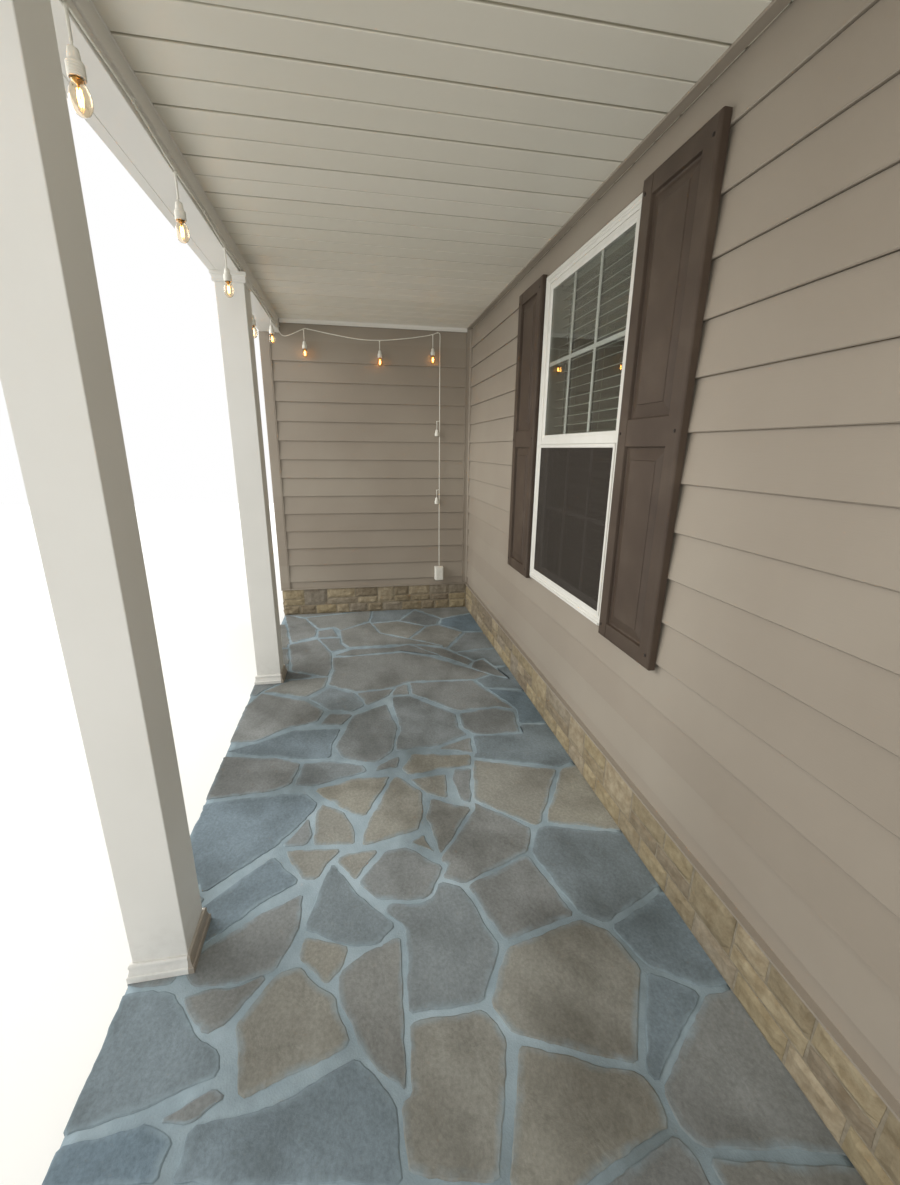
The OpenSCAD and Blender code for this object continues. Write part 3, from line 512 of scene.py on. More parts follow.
def boards(spans, low, tall, top_cut, foot_cut, place, seams):
    z0, z1 = max(low, foot_cut), min(low + tall, top_cut)
    lip = 0.0025 if z0 == low else 0.0
    foot_out = face_out(z0, low, tall)
    outline = [(0.001, z0 + lip), (foot_out - 0.004, z0), (foot_out - lip, z0)]
    outline += [(foot_out, z0 + lip)] * (lip > 0) + [(face_out(z1, low, tall), z1), (0.001, z1)]
    for a, b in spans:
        stops = [a] + [s for s in seams if a + 0.05 < s < b - 0.05] + [b]
        for start, end in zip(stops, stops[1:]):
            gap = 0.0006 if end < b else 0.0
            sweep(lambda s: [place(s, out, z) for out, z in outline], start, end - gap)


siding, tree, surface, where = patterned("moulded_lap_siding", Roughness=0.5, Specular_IOR_Level=0.4)
height = add(tree, "ShaderNodeSeparateXYZ", {0: where})
above_lap = add(tree, "ShaderNodeMath", {0: height.outputs[2], 1: -lap_line}, operation="ADD")
in_courses = add(tree, "ShaderNodeMath", {0: above_lap, 1: course}, operation="DIVIDE")
number = add(tree, "ShaderNodeMath", {0: in_courses}, operation="FLOOR")
per_course = add(tree, "ShaderNodeTexWhiteNoise", {"W": number}, noise_dimensions="1D")
fade = add(tree, "ShaderNodeTexNoise", {"Vector": where, "Scale": 1.6, "Detail": 5.0})
shade = add(tree, "ShaderNodeMath", {0: per_course, 1: 0.3, 2: fade}, operation="MULTIPLY_ADD")
add(tree, "ShaderNodeValToRGB", {0: shade}, stops=[(0.25, "#92887B"), (0.6, "#998F82"), (0.95, "#A0978A")],
    into=surface["Base Color"])
length_wise = add(tree, "ShaderNodeMapping", {"Vector": where, "Scale": (4.0, 4.0, 90.0)})
grain = add(tree, "ShaderNodeTexNoise",
            {"Vector": length_wise, "Scale": 3.0, "Detail": 7.0, "Roughness": 0.62})
add(tree, "ShaderNodeBump", {"Strength": 0.22, "Distance": 0.0012, "Height": grain}, into=surface["Normal"])
for number, low in enumerate(laps):
    seams = [2.80 + 0.15 * (number % 2)] if 0.95 < low < 2.35 else [4.62 + 0.2 * (number % 2)]
    bands = sorted({max(low, base_top), low + course} | {z for z in opening[2:] if low < z < low + course})
    for foot, head in zip(bands, bands[1:]):
        spans = [(first_board, post_near), (post_far, house_end)]
        if opening[2] < (foot + head) / 2 < opening[3]:
            spans[:1] = [(first_board, opening[0]), (opening[1], post_near)]
        boards(spans, low, course, head, foot, lambda s, out, z: (s, butt - out, z), seams)
lay("house_boards", [siding], ["house_siding"])
for low, tall in [(laps[1], course * 2)] + [(low, course) for low in laps[2:]]:
    boards([end_board], low, tall, low + tall, max(low, base_top), lambda s, out, z: (out - butt, s, z), [])
lay("end_boards", [siding], ["end_siding"])
for node in ("upper_siding", "gable_siding"):
    dress(node, siding)

# Stone base: split ledge stone in three rows, five down to the ground, with taller stones here and there.
# Warm grey tan, rough faces, in sand mortar; a thin starter strip runs along its top under the siding.
split_stone, tree, surface, where = patterned("split_ledge_stone", Roughness=0.85)
kind = add(tree, "ShaderNodeAttribute", attribute_name="kind")
body = add(tree, "ShaderNodeValToRGB", {0: kind.outputs["Fac"]}, stops=[
    (0.0, "#8A7F6E"), (0.3, "#988C74"), (0.55, "#A39679"), (0.8, "#AEA188"), (1.0, "#90887B")])
cloud = add(tree, "ShaderNodeTexNoise", {"Vector": where, "Scale": 28.0, "Detail": 8.0, "Roughness": 0.65})
patchy = add(tree, "ShaderNodeValToRGB", {0: cloud}, stops=[(0.35, "#C9C1B6"), (0.65, "#FFFFFF")])
add(tree, "ShaderNodeMix", {0: 0.8, 6: body, 7: patchy}, data_type="RGBA", blend_type="MULTIPLY",
    into=surface["Base Color"])
add(tree, "ShaderNodeBump", {"Strength": 0.8, "Distance": 0.006, "Height": cloud}, into=surface["Normal"])
sand_mortar = mottled("sand_mortar", 60.0, 5.0, [(0.35, "#857B6A"), (0.65, "#9A917F")], Roughness=0.95)


def ledge_stone(place, s0, s1, z0, z1):
    across, up = 8, 6
    gap, rim_deep, back_deep = 0.003, 0.0115, 0.026
    low_s, high_s = s0 + gap + chance.uniform(0, 0.002), s1 - gap - chance.uniform(0, 0.002)
    low_z, high_z = z0 + gap * 0.7 + chance.uniform(0, 0.002), z1 - gap * 0.7 - chance.uniform(0, 0.002)
    lean, rise = chance.uniform(-0.003, 0.003), chance.uniform(-0.002, 0.002)
    proud, salt = chance.uniform(0.0, 0.004), chance.uniform(0, 90)
    first = len(points)
    behind = []
    for j in range(up):
        for i in range(across):
            t, w = i / (across - 1), j / (up - 1)
            u = low_s + (high_s - low_s) * t + lean * (w - 0.5)
            v = low_z + (high_z - low_z) * w + (rise * (t - 0.5) if 0 < j < up - 1 else 0.0)
            behind.append(place(u, -back_deep, v))
            rim = i in (0, across - 1) or j in (0, up - 1)
            rough = bumpy(u, v, salt, 22, 30) * 0.005 + bumpy(u, v, salt, 60, 75) * 0.002
            points.append(place(u, -rim_deep if rim else min(proud - 0.006 + rough, 0.0), v))
    net(first, across, up, behind)
    kinds.extend([chance.random()] * (len(faces) - len(kinds)))


def ledge(place, start, stop, foot, head):
    shares = (0.356, 0.259, 0.385) if head - foot < 0.3 else (0.22, 0.16, 0.24, 0.17, 0.21)
    levels = [foot + (head - foot) * sum(shares[:k]) for k in range(len(shares) + 1)]
    taken = [[] for _ in shares]
    s = start + chance.uniform(0.10, 0.35)
    while stop - s > 0.40:
        wide, row = chance.uniform(0.13, 0.24), chance.randrange(len(shares) - 1)
        ledge_stone(place, s, s + wide, levels[row], levels[row + 2])
        taken[row].append((s, s + wide))
        taken[row + 1].append((s, s + wide))
        s += wide + chance.uniform(0.20, 0.55)
    for row, blocks in enumerate(taken):
        s = start
        for low, high in blocks + [(stop, stop)]:
            count = max(1, round((low - s) / chance.uniform(0.15, 0.25)))
            cuts = [s + (low - s) * (k + chance.uniform(-0.22, 0.22)) / count for k in range(1, count)]
            for a, b in zip([s] + cuts, cuts + [low]):
                if b - a > 0.012:
                    ledge_stone(place, a, b, levels[row], levels[row + 1])
            s = high


def slab_box(low, high):
    first = len(points)
    points.extend((x, y, z) for z in (low[2], high[2]) for y in (low[1], high[1]) for x in (low[0], high[0]))
    faces.extend(tuple(first + k for k in side) for side in
                 ((0, 2, 3, 1), (4, 5, 7, 6), (0, 1, 5, 4), (1, 3, 7, 5), (3, 2, 6, 7), (2, 0, 4, 6)))


def house_stone(s, out, z):
    return (s, -0.014 - out, z)


chance = random.Random(5)
stone_head = 0.389
kinds = []
for name, node, runs, beds, strips in (
        ("house_ledge_stones", "house_stone_base",
         [(house_stone, 0.016, post_near, floor_top, stone_head),
          (house_stone, post_far, 5.203, floor_top, stone_head),
          (house_stone, 5.204, house_end, 0.0, stone_head)],
         [((-0.020, -0.0015, floor_top), (post_near, 0.020, stone_head)),
          ((post_far, -0.0015, floor_top), (5.204, 0.020, stone_head)),
          ((5.204, -0.0015, 0.0), (house_end, 0.020, stone_head))],
         [((first_board, -0.016, stone_head), (post_near, 0.012, base_top)),
          ((post_far, -0.016, stone_head), (house_end, 0.012, base_top))]),
        ("end_ledge_stones", "end_stone_base",
         [(lambda s, out, z: (0.014 + out, s, z), -1.712, -0.002, floor_top, stone_head),
          (lambda s, out, z: (-s, -1.717 - out, z), -0.008, 0.160, 0.111, stone_head)],
         [((-0.020, -1.700, floor_top), (0.0015, 0.0, stone_head)),
          ((-0.160, -1.707, 0.110), (-0.020, -1.697, stone_head))],
         [((-0.012, -1.717, stone_head), (0.016, -0.016, base_top)),
          ((-0.160, -1.719, stone_head), (-0.012, -1.697, base_top))])):
    kinds.clear()
    for place, start, stop, foot, head in runs:
        ledge(place, start, stop, foot, head)
    stones = len(faces)
    for low, high in beds + strips:
        slab_box(low, high)
    which = [0] * stones + [1] * (6 * len(beds)) + [2] * (6 * len(strips))
    kinds.extend([0.5] * (len(faces) - stones))
    made = lay(name, [split_stone, sand_mortar, siding], [node], which=which)
    mark(made, "kind", "FACE", kinds)

# Corner boards: a moulded post on the end wall's outer corner and a slim one in the inner corner.
# Both are the siding's own colour, with a raised rim where the boards' ends slip in behind.
beam_foot = 2.512
upright([(-0.020, -1.717), (0.0, -1.717), (0.003, -1.714), (0.003, -1.645), (0.001, -1.643), (0.001, -1.640),
         (0.003, -1.638), (0.003, -1.636), (-0.020, -1.636)], base_top, beam_foot)
upright([(-0.160, -1.717), (-0.020, -1.717), (-0.020, -1.697), (-0.160, -1.697)], base_top, beam_foot)
lay("outer_corner_post", [siding], ["corner_board"])
upright([(-0.020, -0.042), (0.003, -0.042), (0.003, -0.038), (0.0, -0.036), (0.0, -0.008), (0.004, -0.004),
         (0.008, 0.0), (0.020, 0.0), (0.022, -0.003), (0.026, -0.003), (0.026, 0.020), (-0.020, 0.020)],
        base_top, ceiling)
lay("inner_corner_post", [siding], ["inside_corner_post"])

# Posts: square cellular sleeves over timber, glued at the corners and painted satin white.
# The corners are eased 3 mm; the lowest 25 cm are barely dirtied by splashed rain.
post_half, post_row = 0.074, -1.618
post_places = {"inner_post": 1.330, "middle_post": 3.219, "corner_post": 5.108}


def rounded(x0, x1, y0, y1, r):
    return [(x + r * math.cos(t), y + r * math.sin(t)) for x, y, turn in (
        (x1 - r, y1 - r, 0), (x0 + r, y1 - r, 1), (x0 + r, y0 + r, 2), (x1 - r, y0 + r, 3))
        for t in (math.pi / 2 * (turn + k / 3) for k in range(4))]


satin_white, tree, surface, where = patterned("satin_white_sleeve", Roughness=0.42)
height = add(tree, "ShaderNodeSeparateXYZ", {0: where})
splash = add(tree, "ShaderNodeMapRange", {0: height.outputs[2], 1: 0.15, 2: 0.40, 3: 1.0, 4: 0.0})
cloud = add(tree, "ShaderNodeTexNoise", {"Vector": where, "Scale": 22.0, "Detail": 8.0, "Roughness": 0.7})
patchy = add(tree, "ShaderNodeMapRange", {0: cloud, 1: 0.42, 2: 0.75})
faint = add(tree, "ShaderNodeMath", {0: splash, 1: patchy}, operation="MULTIPLY")
faint = add(tree, "ShaderNodeMath", {0: faint, 1: 0.22}, operation="MULTIPLY")
# Painted shade: the bases' house-facing sides, below 21 cm, are painted brown for the shade on the side away
# from the light; the rest is faint rain splash.
house_facing_side = add(tree, "ShaderNodeMath", {0: height.outputs[1], 1: -0.7300, 2: 0.0098}, operation="COMPARE")
below = add(tree, "ShaderNodeMapRange", {0: height.outputs[2], 1: 0.205, 2: 0.212, 3: 0.8, 4: 0.0})
painted_shade_side = add(tree, "ShaderNodeMath", {0: house_facing_side, 1: below}, operation="MULTIPLY")
splash_dirt_and_painted_shade = add(tree, "ShaderNodeMath", {0: faint, 1: painted_shade_side}, operation="MAXIMUM")
broad = add(tree, "ShaderNodeTexNoise", {"Vector": where, "Scale": 2.0, "Detail": 4.0})
white = add(tree, "ShaderNodeValToRGB", {0: broad}, stops=[(0.3, "#E9E8E2"), (0.7, "#F0EFEA")])
add(tree, "ShaderNodeMix", {0: splash_dirt_and_painted_shade, 6: white, 7: "#867866"}, data_type="RGBA",
    into=surface["Base Color"])
ripple = add(tree, "ShaderNodeTexNoise", {"Vector": where, "Scale": 9.0, "Detail": 2.0})
add(tree, "ShaderNodeBump", {"Strength": 0.12, "Distance": 0.002, "Height": ripple}, into=surface["Normal"])
for node, x in post_places.items():
    upright(rounded(x - post_half, x + post_half, post_row - post_half, post_row + post_half, 0.003),
            floor_top, beam_foot)
    lay(node + "_sleeve", [satin_white], [node])
upright(rounded(5.034, 5.182, -post_half, 0.020, 0.003), floor_top, beam_foot)
lay("wall_post_sleeve", [satin_white], ["wall_post"])

# Base and cap trims: mitred mouldings round each post, a flat step below a hollow cove, caulked and painted.
# The caps are the same shape turned over and a little lower; the house sides of the bases are painted brown
# as shade.
base_outline = [(0.0, 0.0), (0.016, 0.0), (0.016, 0.018), (0.0145, 0.0205), (0.012, 0.0215),
                (0.0115, 0.026), (0.0095, 0.033), (0.0085, 0.041), (0.0095, 0.047), (0.0092, 0.052),
                (0.006, 0.0565), (0.0, 0.057)]


def collars(turned):
    for x, half in [(x, False) for x in post_places.values()] + [(5.108, True)]:
        y0, y1 = (-post_half, 0.019) if half else (post_row - post_half, post_row + post_half)
        first = len(points)
        for out, up in base_outline:
            z = beam_foot - up * 50 / 57 if turned else floor_top + up
            back = y1 if half else y1 + out
            points.extend([(x - post_half - out, y0 - out, z), (x + post_half + out, y0 - out, z),
                           (x + post_half + out, back, z), (x - post_half - out, back, z)])
        shell(first, 4, len(base_outline), looped=True)


for name, node, turned in (("post_base_trims", "post_bases", False), ("post_cap_trims", "post_caps", True)):
    collars(turned)
    lay(name, [satin_white], [node])

# Window: a fixed-looking double-hung unit of white extruded frame, mitred and welded at its corners.
# The frame's face steps in towards the sashes; fine weld lines show as the mitres.
meeting = (window[2] + window[3]) / 2
frame_wide, sash_wide, meeting_foot = 0.037, 0.030, 1.663


def picture_frame(box, profile, deeper_foot=0.0):
    x0, x1, z0, z1 = box
    first = len(points)
    for inset, depth in profile:
        low = z0 + inset + (deeper_foot if inset > 0.01 else 0.0)
        left, right, high = x0 + inset, x1 - inset, z1 - inset
        points.extend((x, depth, z) for x, z in ((left, low), (right, low), (right, high), (left, high)))
    shell(first, 4, len(profile), looped=True)


vinyl = mottled("white_window_vinyl", 12.0, 6.0, [(0.3, "#DEDCD4"), (0.65, "#E3E1DA")], Roughness=0.3)
picture_frame(window, [(0.0, 0.070), (0.0, -0.008), (0.002, -0.010), (0.014, -0.010), (0.016, -0.0075),
                       (0.024, -0.0075), (0.026, -0.004), (frame_wide, -0.002), (frame_wide, 0.070)])
slab_box((window[0] + 0.02, -0.014, window[2] + 0.001), (window[1] - 0.02, -0.009, window[2] + 0.012))
for low, high in (((1.8003, 0.0704, 0.933), (1.8011, 0.139, 2.459)),
                  ((2.6669, 0.0704, 0.933), (2.6677, 0.139, 2.459)),
                  ((1.8012, 0.0704, 2.4587), (2.6668, 0.139, 2.4595)),
                  ((1.8012, 0.0704, 0.9323), (2.6668, 0.139, 0.9331))):
    slab_box(low, high)
lay("window_surround", [vinyl], ["window_frame"])

sash_face = [(0.0, 0.026), (0.0, 0.002), (0.002, 0.0), (0.017, 0.0), (0.019, 0.002), (0.022, 0.0022),
             (sash_wide, 0.005), (sash_wide, 0.026)]
panes = []
for name, node, foot, head, front, deeper in (
        ("upper_sash_frame", "upper_sash", meeting_foot, window[3] - frame_wide, 0.001,
         meeting - sash_wide / 2 - meeting_foot),
        ("lower_sash_frame", "lower_sash", window[2] + frame_wide, meeting + sash_wide / 2, 0.029, 0.0)):
    box = (window[0] + frame_wide, window[1] - frame_wide, foot, head)
    picture_frame(box, [(inset, front + depth) for inset, depth in sash_face], deeper)
    panes.append((box[0] + sash_wide, box[1] - sash_wide, foot + deeper + sash_wide, head - sash_wide,
                  front + 0.005))
    lay(name, [vinyl], [node])

# Glass and bars: sealed double panes with flat white bars between them, three lights wide and two high.
# Clear float glass with a faint grey cast; the room behind is shown dim by a dark sheet of painted shade
# behind the blind.
glazing = material("clear_float_glass", Base_Color="#F1F5F3", Roughness=0.0, IOR=1.45,
                   Transmission_Weight=1.0)[0]
pane_thick, pane_apart, tucked, bar_half = 0.003, 0.013, 0.004, 0.0095
for x0, x1, z0, z1, front in panes:
    for near in (front, front + pane_apart):
        slab_box((x0 - tucked, near, z0 - tucked), (x1 + tucked, near + pane_thick, z1 + tucked))
lay("window_panes", [glazing], ["window_glass"])
bar = [(-0.010, 0.0075), (-0.008, 0.0045), (0.008, 0.0045), (0.010, 0.0075), (0.008, 0.0105),
       (-0.008, 0.0105)]
for x0, x1, z0, z1, front in panes:
    wide = (x1 - x0) / 3
    for x in (x0 + wide, x0 + wide * 2):
        upright([(x + across, front + deep) for across, deep in bar], z0, z1)
    for a, b in ((x0, x0 + wide - bar_half), (x0 + wide + bar_half, x0 + 2 * wide - bar_half),
                 (x0 + 2 * wide + bar_half, x1)):
        along_x([(front + deep, (z0 + z1) / 2 + across) for across, deep in bar], a, b)
lay("window_bars", [vinyl])

# Blind: moulded slats 50 mm wide, turned almost level, under a head rail, with three pairs of cords.
# Their cream is painted darker as shade and their outer edges are painted light as a highlight; a dark sheet
# close behind is painted shade standing in for the dim room.
slat_finish_with_painted_light, tree, surface, where = patterned("blind_slat_painted_light", Roughness=0.5)
dust = add(tree, "ShaderNodeTexNoise", {"Vector": where, "Scale": 30.0, "Detail": 5.0})
# Painted shade: the slat body is a darker cream than the slats' own colour, standing in for their shaded
# undersides.
tint = add(tree, "ShaderNodeValToRGB", {0: dust}, stops=[(0.35, "#9A947F"), (0.65, "#A8A28E")])
depth = add(tree, "ShaderNodeSeparateXYZ", {0: where})
# Painted highlight: a thin band along each slat's outer edge is painted near white, as if lit.
painted_highlight_edge = add(tree, "ShaderNodeMapRange", {0: depth.outputs[1], 1: 0.8790, 2: 0.8805, 3: 1.0, 4: 0.0})
add(tree, "ShaderNodeMix", {0: painted_highlight_edge, 6: tint, 7: "#F4F1E6"}, data_type="RGBA",
    into=surface["Base Color"])
repeat_tree = bpy.data.node_groups.new("place_at_points", "GeometryNodeTree")
for name, kind in (("Geometry", "NodeSocketGeometry"), ("Shape", "NodeSocketObject"),
                   ("Seed", "NodeSocketInt"), ("Finish", "NodeSocketMaterial")):
    repeat_tree.interface.new_socket(name, in_out="INPUT", socket_type=kind)
repeat_tree.interface.new_socket("Geometry", in_out="OUTPUT", socket_type="NodeSocketGeometry")
given = add(repeat_tree, "NodeGroupInput").outputs
shape = add(repeat_tree, "GeometryNodeObjectInfo", {"Object": given["Shape"]})
spread = add(repeat_tree, "GeometryNodeInstanceOnPoints",
             {"Points": given["Geometry"], "Instance": shape.outputs["Geometry"]})
draw = add(repeat_tree, "FunctionNodeRandomValue", {"Seed": given["Seed"]}, data_type="FLOAT")
marked = add(repeat_tree, "GeometryNodeStoreNamedAttribute",
             {"Geometry": spread, "Name": "kind", "Value": draw}, data_type="FLOAT", domain="INSTANCE")
solid = add(repeat_tree, "GeometryNodeRealizeInstances", {"Geometry": marked})
coated = add(repeat_tree, "GeometryNodeSetMaterial", {"Geometry": solid, "Material": given["Finish"]})
add(repeat_tree, "NodeGroupOutput", {0: coated})


def repeat(name, places, finish, nodes=(), seed=1, smooth=False):
    one = bpy.data.objects.new(name + "_shape", shaped(name + "_shape", points, smooth))
    spots = bpy.data.meshes.new(name)
    spots.from_pydata([Vector(p) - middle for p in places], [], [])
    made = bpy.data.objects.new(name, spots)
    bpy.context.collection.objects.link(made)
    rule = made.modifiers.new("repeat", "NODES")
    rule.node_group = repeat_tree
    keys = {item.name: item.identifier for item in repeat_tree.interface.items_tree if item.in_out == "INPUT"}
    rule[keys["Shape"]], rule[keys["Seed"]], rule[keys["Finish"]] = one, seed, finish
    graph = bpy.context.evaluated_depsgraph_get()
    plain = bpy.data.meshes.new_from_object(made.evaluated_get(graph), preserve_all_data_layers=True,
                                            depsgraph=graph)
    made.modifiers.clear()
    made.data = plain
    bpy.data.objects.remove(one)
    fasten(made, nodes)


tilt, slat_wide, slat_thick, slat_pitch, slat_row = math.radians(15), 0.050, 0.0032, 0.0435, 0.097
slat = [(slat_wide * (k / 5 - 0.5), 0.0014 * (1 - ((k - 2.5) / 2.5) ** 2)) for k in range(6)]
slat = [(u * math.cos(tilt) - v * math.sin(tilt), u * math.sin(tilt) + v * math.cos(tilt)) for u, v in slat]
slat = slat + [(y, z - slat_thick) for y, z in reversed(slat)]
slat_half, lowest_slat, slats = 0.428, 0.985, 33
blind_middle, rail_left, rail_right = (window[0] + window[1]) / 2, 1.804, 2.664
along_x(slat, -slat_half, slat_half)
repeat("blind_slats", [(blind_middle, slat_row, lowest_slat + slat_pitch * k) for k in range(slats)],
       slat_finish_with_painted_light, ["window_blind"], seed=4)
along_x([(0.071, 2.416), (0.070, 2.456), (0.123, 2.456), (0.123, 2.418), (0.121, 2.414)],
        rail_left, rail_right)
along_x([(0.074, 0.944), (0.072, 0.950), (0.074, 0.962), (0.120, 0.962), (0.122, 0.950), (0.120, 0.944)],
        rail_left, rail_right)
for x in (1.95, blind_middle, 2.518):
    for y in (0.0712, 0.1226):
        slab_box((x - 0.001, y - 0.0006, 0.955), (x + 0.001, y + 0.0006, 2.42))
lay("blind_rails_and_cords", [slat_finish_with_painted_light])
# Painted shade: a dark sheet just behind the slats stands in for the shade of the unlit room.
room_shade_sheet = mottled("painted_room_shade", 60.0, 3.0, [(0.3, "#514C3E"), (0.7, "#5E5847")], Roughness=0.9)
slab_box((1.803, 0.1232, 0.936), (2.665, 0.1239, 2.457))
lay("blind_liner", [room_shade_sheet])

# Insect screen: a half screen over the lower sash, dark woven cloth in a slim white rolled frame.
# The cloth is too fine to draw thread by thread here, so it is a dark veil with a faint weave.
veil = mottled("woven_screen_cloth", 160.0, 1.0, [(0.35, "#3B352F"), (0.65, "#413B35")], Roughness=0.8,
               Alpha=0.6)
screen = (window[0] + frame_wide, window[1] - frame_wide, window[2] + frame_wide, meeting_foot)
picture_frame(screen, [(0.0, -0.001), (0.0, -0.006), (0.001, -0.007), (0.013, -0.007), (0.016, -0.005),
                       (0.016, -0.001)])
solid_faces = len(faces)
slab_box((screen[0] + 0.015, -0.0042, screen[2] + 0.015), (screen[1] - 0.015, -0.0038, screen[3] - 0.015))
lay("half_screen", [vinyl, veil], ["insect_screen"],
    which=[0] * solid_faces + [1] * (len(faces) - solid_faces))

# Trim channel: the siding's own channel round the window, folded over the boards' cut ends.
picture_frame(opening, [(0.0, 0.020), (0.0, -0.001), (0.001, -0.002), (0.004, -0.002), (0.005, 0.002),
                        (0.010, 0.002), (0.011, -0.001), (channel_wide, -0.001), (channel_wide, 0.020)])
lay("window_trim_channel", [siding], ["window_channel"])

# Shutters: a moulded pair with two raised panels each, screwed through the stiles with painted caps.
# Dark brown with a pressed wood grain, a little faded in broad patches.
brown, tree, surface, where = patterned("moulded_brown_shutter", Roughness=0.48, Specular_IOR_Level=0.45)
upright_grain = add(tree, "ShaderNodeMapping", {"Vector": where, "Scale": (70.0, 70.0, 3.0)})
grain = add(tree, "ShaderNodeTexNoise",
            {"Vector": upright_grain, "Scale": 3.0, "Detail": 8.0, "Roughness": 0.6, "Distortion": 0.3})
cloud = add(tree, "ShaderNodeTexNoise", {"Vector": where, "Scale": 7.0, "Detail": 6.0})
add(tree, "ShaderNodeValToRGB", {0: cloud}, stops=[(0.3, "#43372E"), (0.55, "#4B3F35"), (0.75, "#55493E")],
    into=surface["Base Color"])
add(tree, "ShaderNodeBump", {"Strength": 0.35, "Distance": 0.0008, "Height": grain}, into=surface["Normal"])
shutter_wide, shutter_foot, shutter_head, stile, rail_half = 0.374, 0.896, 2.496, 0.062, 0.045
screw_in, screw_up = 0.022, 0.05
stile_face, rail_face = -0.030, -0.0288
panel = [(0.0015, -0.0280), (0.004, -0.0180), (0.007, -0.0162), (0.011, -0.0158), (0.047, -0.0248),
         (0.0485, -0.0272), (0.050, -0.0278)]
edge_round = [(0.0, 0.0), (0.0, -0.022), (0.002, -0.0262), (0.006, -0.0290), (0.010, stile_face)]
screw_places = []


def ring(x0, x1, y, z0, z1):
    points.extend([(x0, y, z0), (x1, y, z0), (x1, y, z1), (x0, y, z1)])


for name, node, x0 in (("far_shutter_board", "far_shutter", 1.394),
                       ("near_shutter_board", "near_shutter", 2.700)):
    x1 = x0 + shutter_wide
    for inset, y in edge_round:
        ring(x0 + inset, x1 - inset, y, shutter_foot + inset, shutter_head - inset)
    last = 4 * (len(edge_round) - 1)
    xs = (x0 + stile, x1 - stile)
    zs = (shutter_foot + 0.010, shutter_foot + stile, meeting - rail_half, meeting + rail_half,
          shutter_head - stile, shutter_head - 0.010)
    grid = len(points)
    for face in (stile_face, rail_face):
        points += [(x, face, z) for z in zs for x in xs]

    def corner(row, side, on_rail):
        return grid + 12 * on_rail + 2 * row + side

    for r in range(0, last - 4, 4):
        faces += [(r + k, r + (k + 1) % 4, r + 4 + (k + 1) % 4, r + 4 + k) for k in range(4)]
    r = last - 4
    faces.append((r, r + 1, last + 1, corner(0, 1, 0), corner(0, 1, 1), corner(0, 0, 1), corner(0, 0, 0),
                  last))
    faces.append((r + 1, r + 2, last + 2, last + 1))
    faces.append((r + 2, r + 3, last + 3, corner(5, 0, 0), corner(5, 0, 1), corner(5, 1, 1), corner(5, 1, 0),
                  last + 2))
    faces.append((r + 3, r, last, last + 3))
    faces.append((3, 2, 1, 0))
    faces.append((last, corner(0, 0, 0), corner(5, 0, 0), last + 3))
    faces.append((corner(0, 1, 0), last + 1, last + 2, corner(5, 1, 0)))
    for side in (0, 1):
        step = [corner(0, side, 0), corner(5, side, 0)] + [corner(row, side, 1) for row in range(5, -1, -1)]
        faces.append(tuple(step) if side else tuple(reversed(step)))
    for row in range(5):
        seam = (corner(row, 0, 1), corner(row, 1, 1), corner(row + 1, 1, 1), corner(row + 1, 0, 1))
        if row % 2 == 0:
            faces.append(seam)
            continue
        rings = [seam]
        for inset, y in panel:
            rings.append(tuple(range(len(points), len(points) + 4)))
            ring(xs[0] + inset, xs[1] - inset, y, zs[row] + inset, zs[row + 1] - inset)
        for a, b in zip(rings, rings[1:]):
            faces += [(a[k], a[(k + 1) % 4], b[(k + 1) % 4], b[k]) for k in range(4)]
        faces.append(rings[-1])
    lay(name, [brown], [node])
    screw_places += [(x, stile_face, z) for x in (x0 + screw_in, x1 - screw_in)
                     for z in (shutter_foot + screw_up, meeting, shutter_head - screw_up)]
screw_cap = material("dark_screw_cap", Base_Color="#2A221C", Roughness=0.4)[0]
sides = 10
points.append((0.0, -0.003, 0.0))
for r, y in ((0.0035, -0.0026), (0.0055, -0.0014), (0.006, 0.0)):
    points += [(r * math.cos(k * math.pi / 5), y, r * math.sin(k * math.pi / 5)) for k in range(sides)]
faces += [(0, 1 + k, 1 + (k + 1) % sides) for k in range(sides)]
for low in (1, 1 + sides):
    high = low + sides
    faces += [(low + k, high + k, high + (k + 1) % sides, low + (k + 1) % sides) for k in range(sides)]
faces.append(tuple(range(1 + 2 * sides, 1 + 3 * sides)))
repeat("shutter_screws", screw_places, screw_cap, seed=2, smooth=True)

# Beams: timber headers wrapped in white coil stock, bent at the corners and lapped every few metres.
# A hemmed seam runs along the underside near the outer edge; each sheet laps a hair over the next.
coil = mottled("white_coil_wrap", 1.4, 3.0, [(0.3, "#EAE8E1"), (0.7, "#F1EFEA")], (3.2, 2.0, 0.35, 0.006),
               Roughness=0.36, Specular_IOR_Level=0.5)


def wrap(near, far, proud):
    low, side = beam_foot - proud, beam_foot + 0.002 - proud
    return [(near + 0.002 - proud, low), (near + 0.0375, low), (near + 0.039, beam_foot + 0.0025),
            (near + 0.0405, low), (far - 0.002 + proud, low), (far + proud, side), (far + proud, beam_head),
            (near - proud, beam_head), (near - proud, side)]


beam_out, beam_in, beam_head = -1.712, -1.562, 2.752
open_end, wall_back = 5.183, 0.020
for start, end, proud in ((-0.160, 1.345, 0.0), (1.330, 3.234, 0.0006), (3.219, open_end, 0.0)):
    along_x(wrap(beam_out, beam_in, proud), start, end)
lay("front_beam_wrap", [coil], ["front_beam"])
along_y([(open_end + beam_out - across, z) for across, z in wrap(beam_out, beam_in, 0.0)], beam_in, wall_back)
lay("side_beam_wrap", [coil], ["side_beam"])

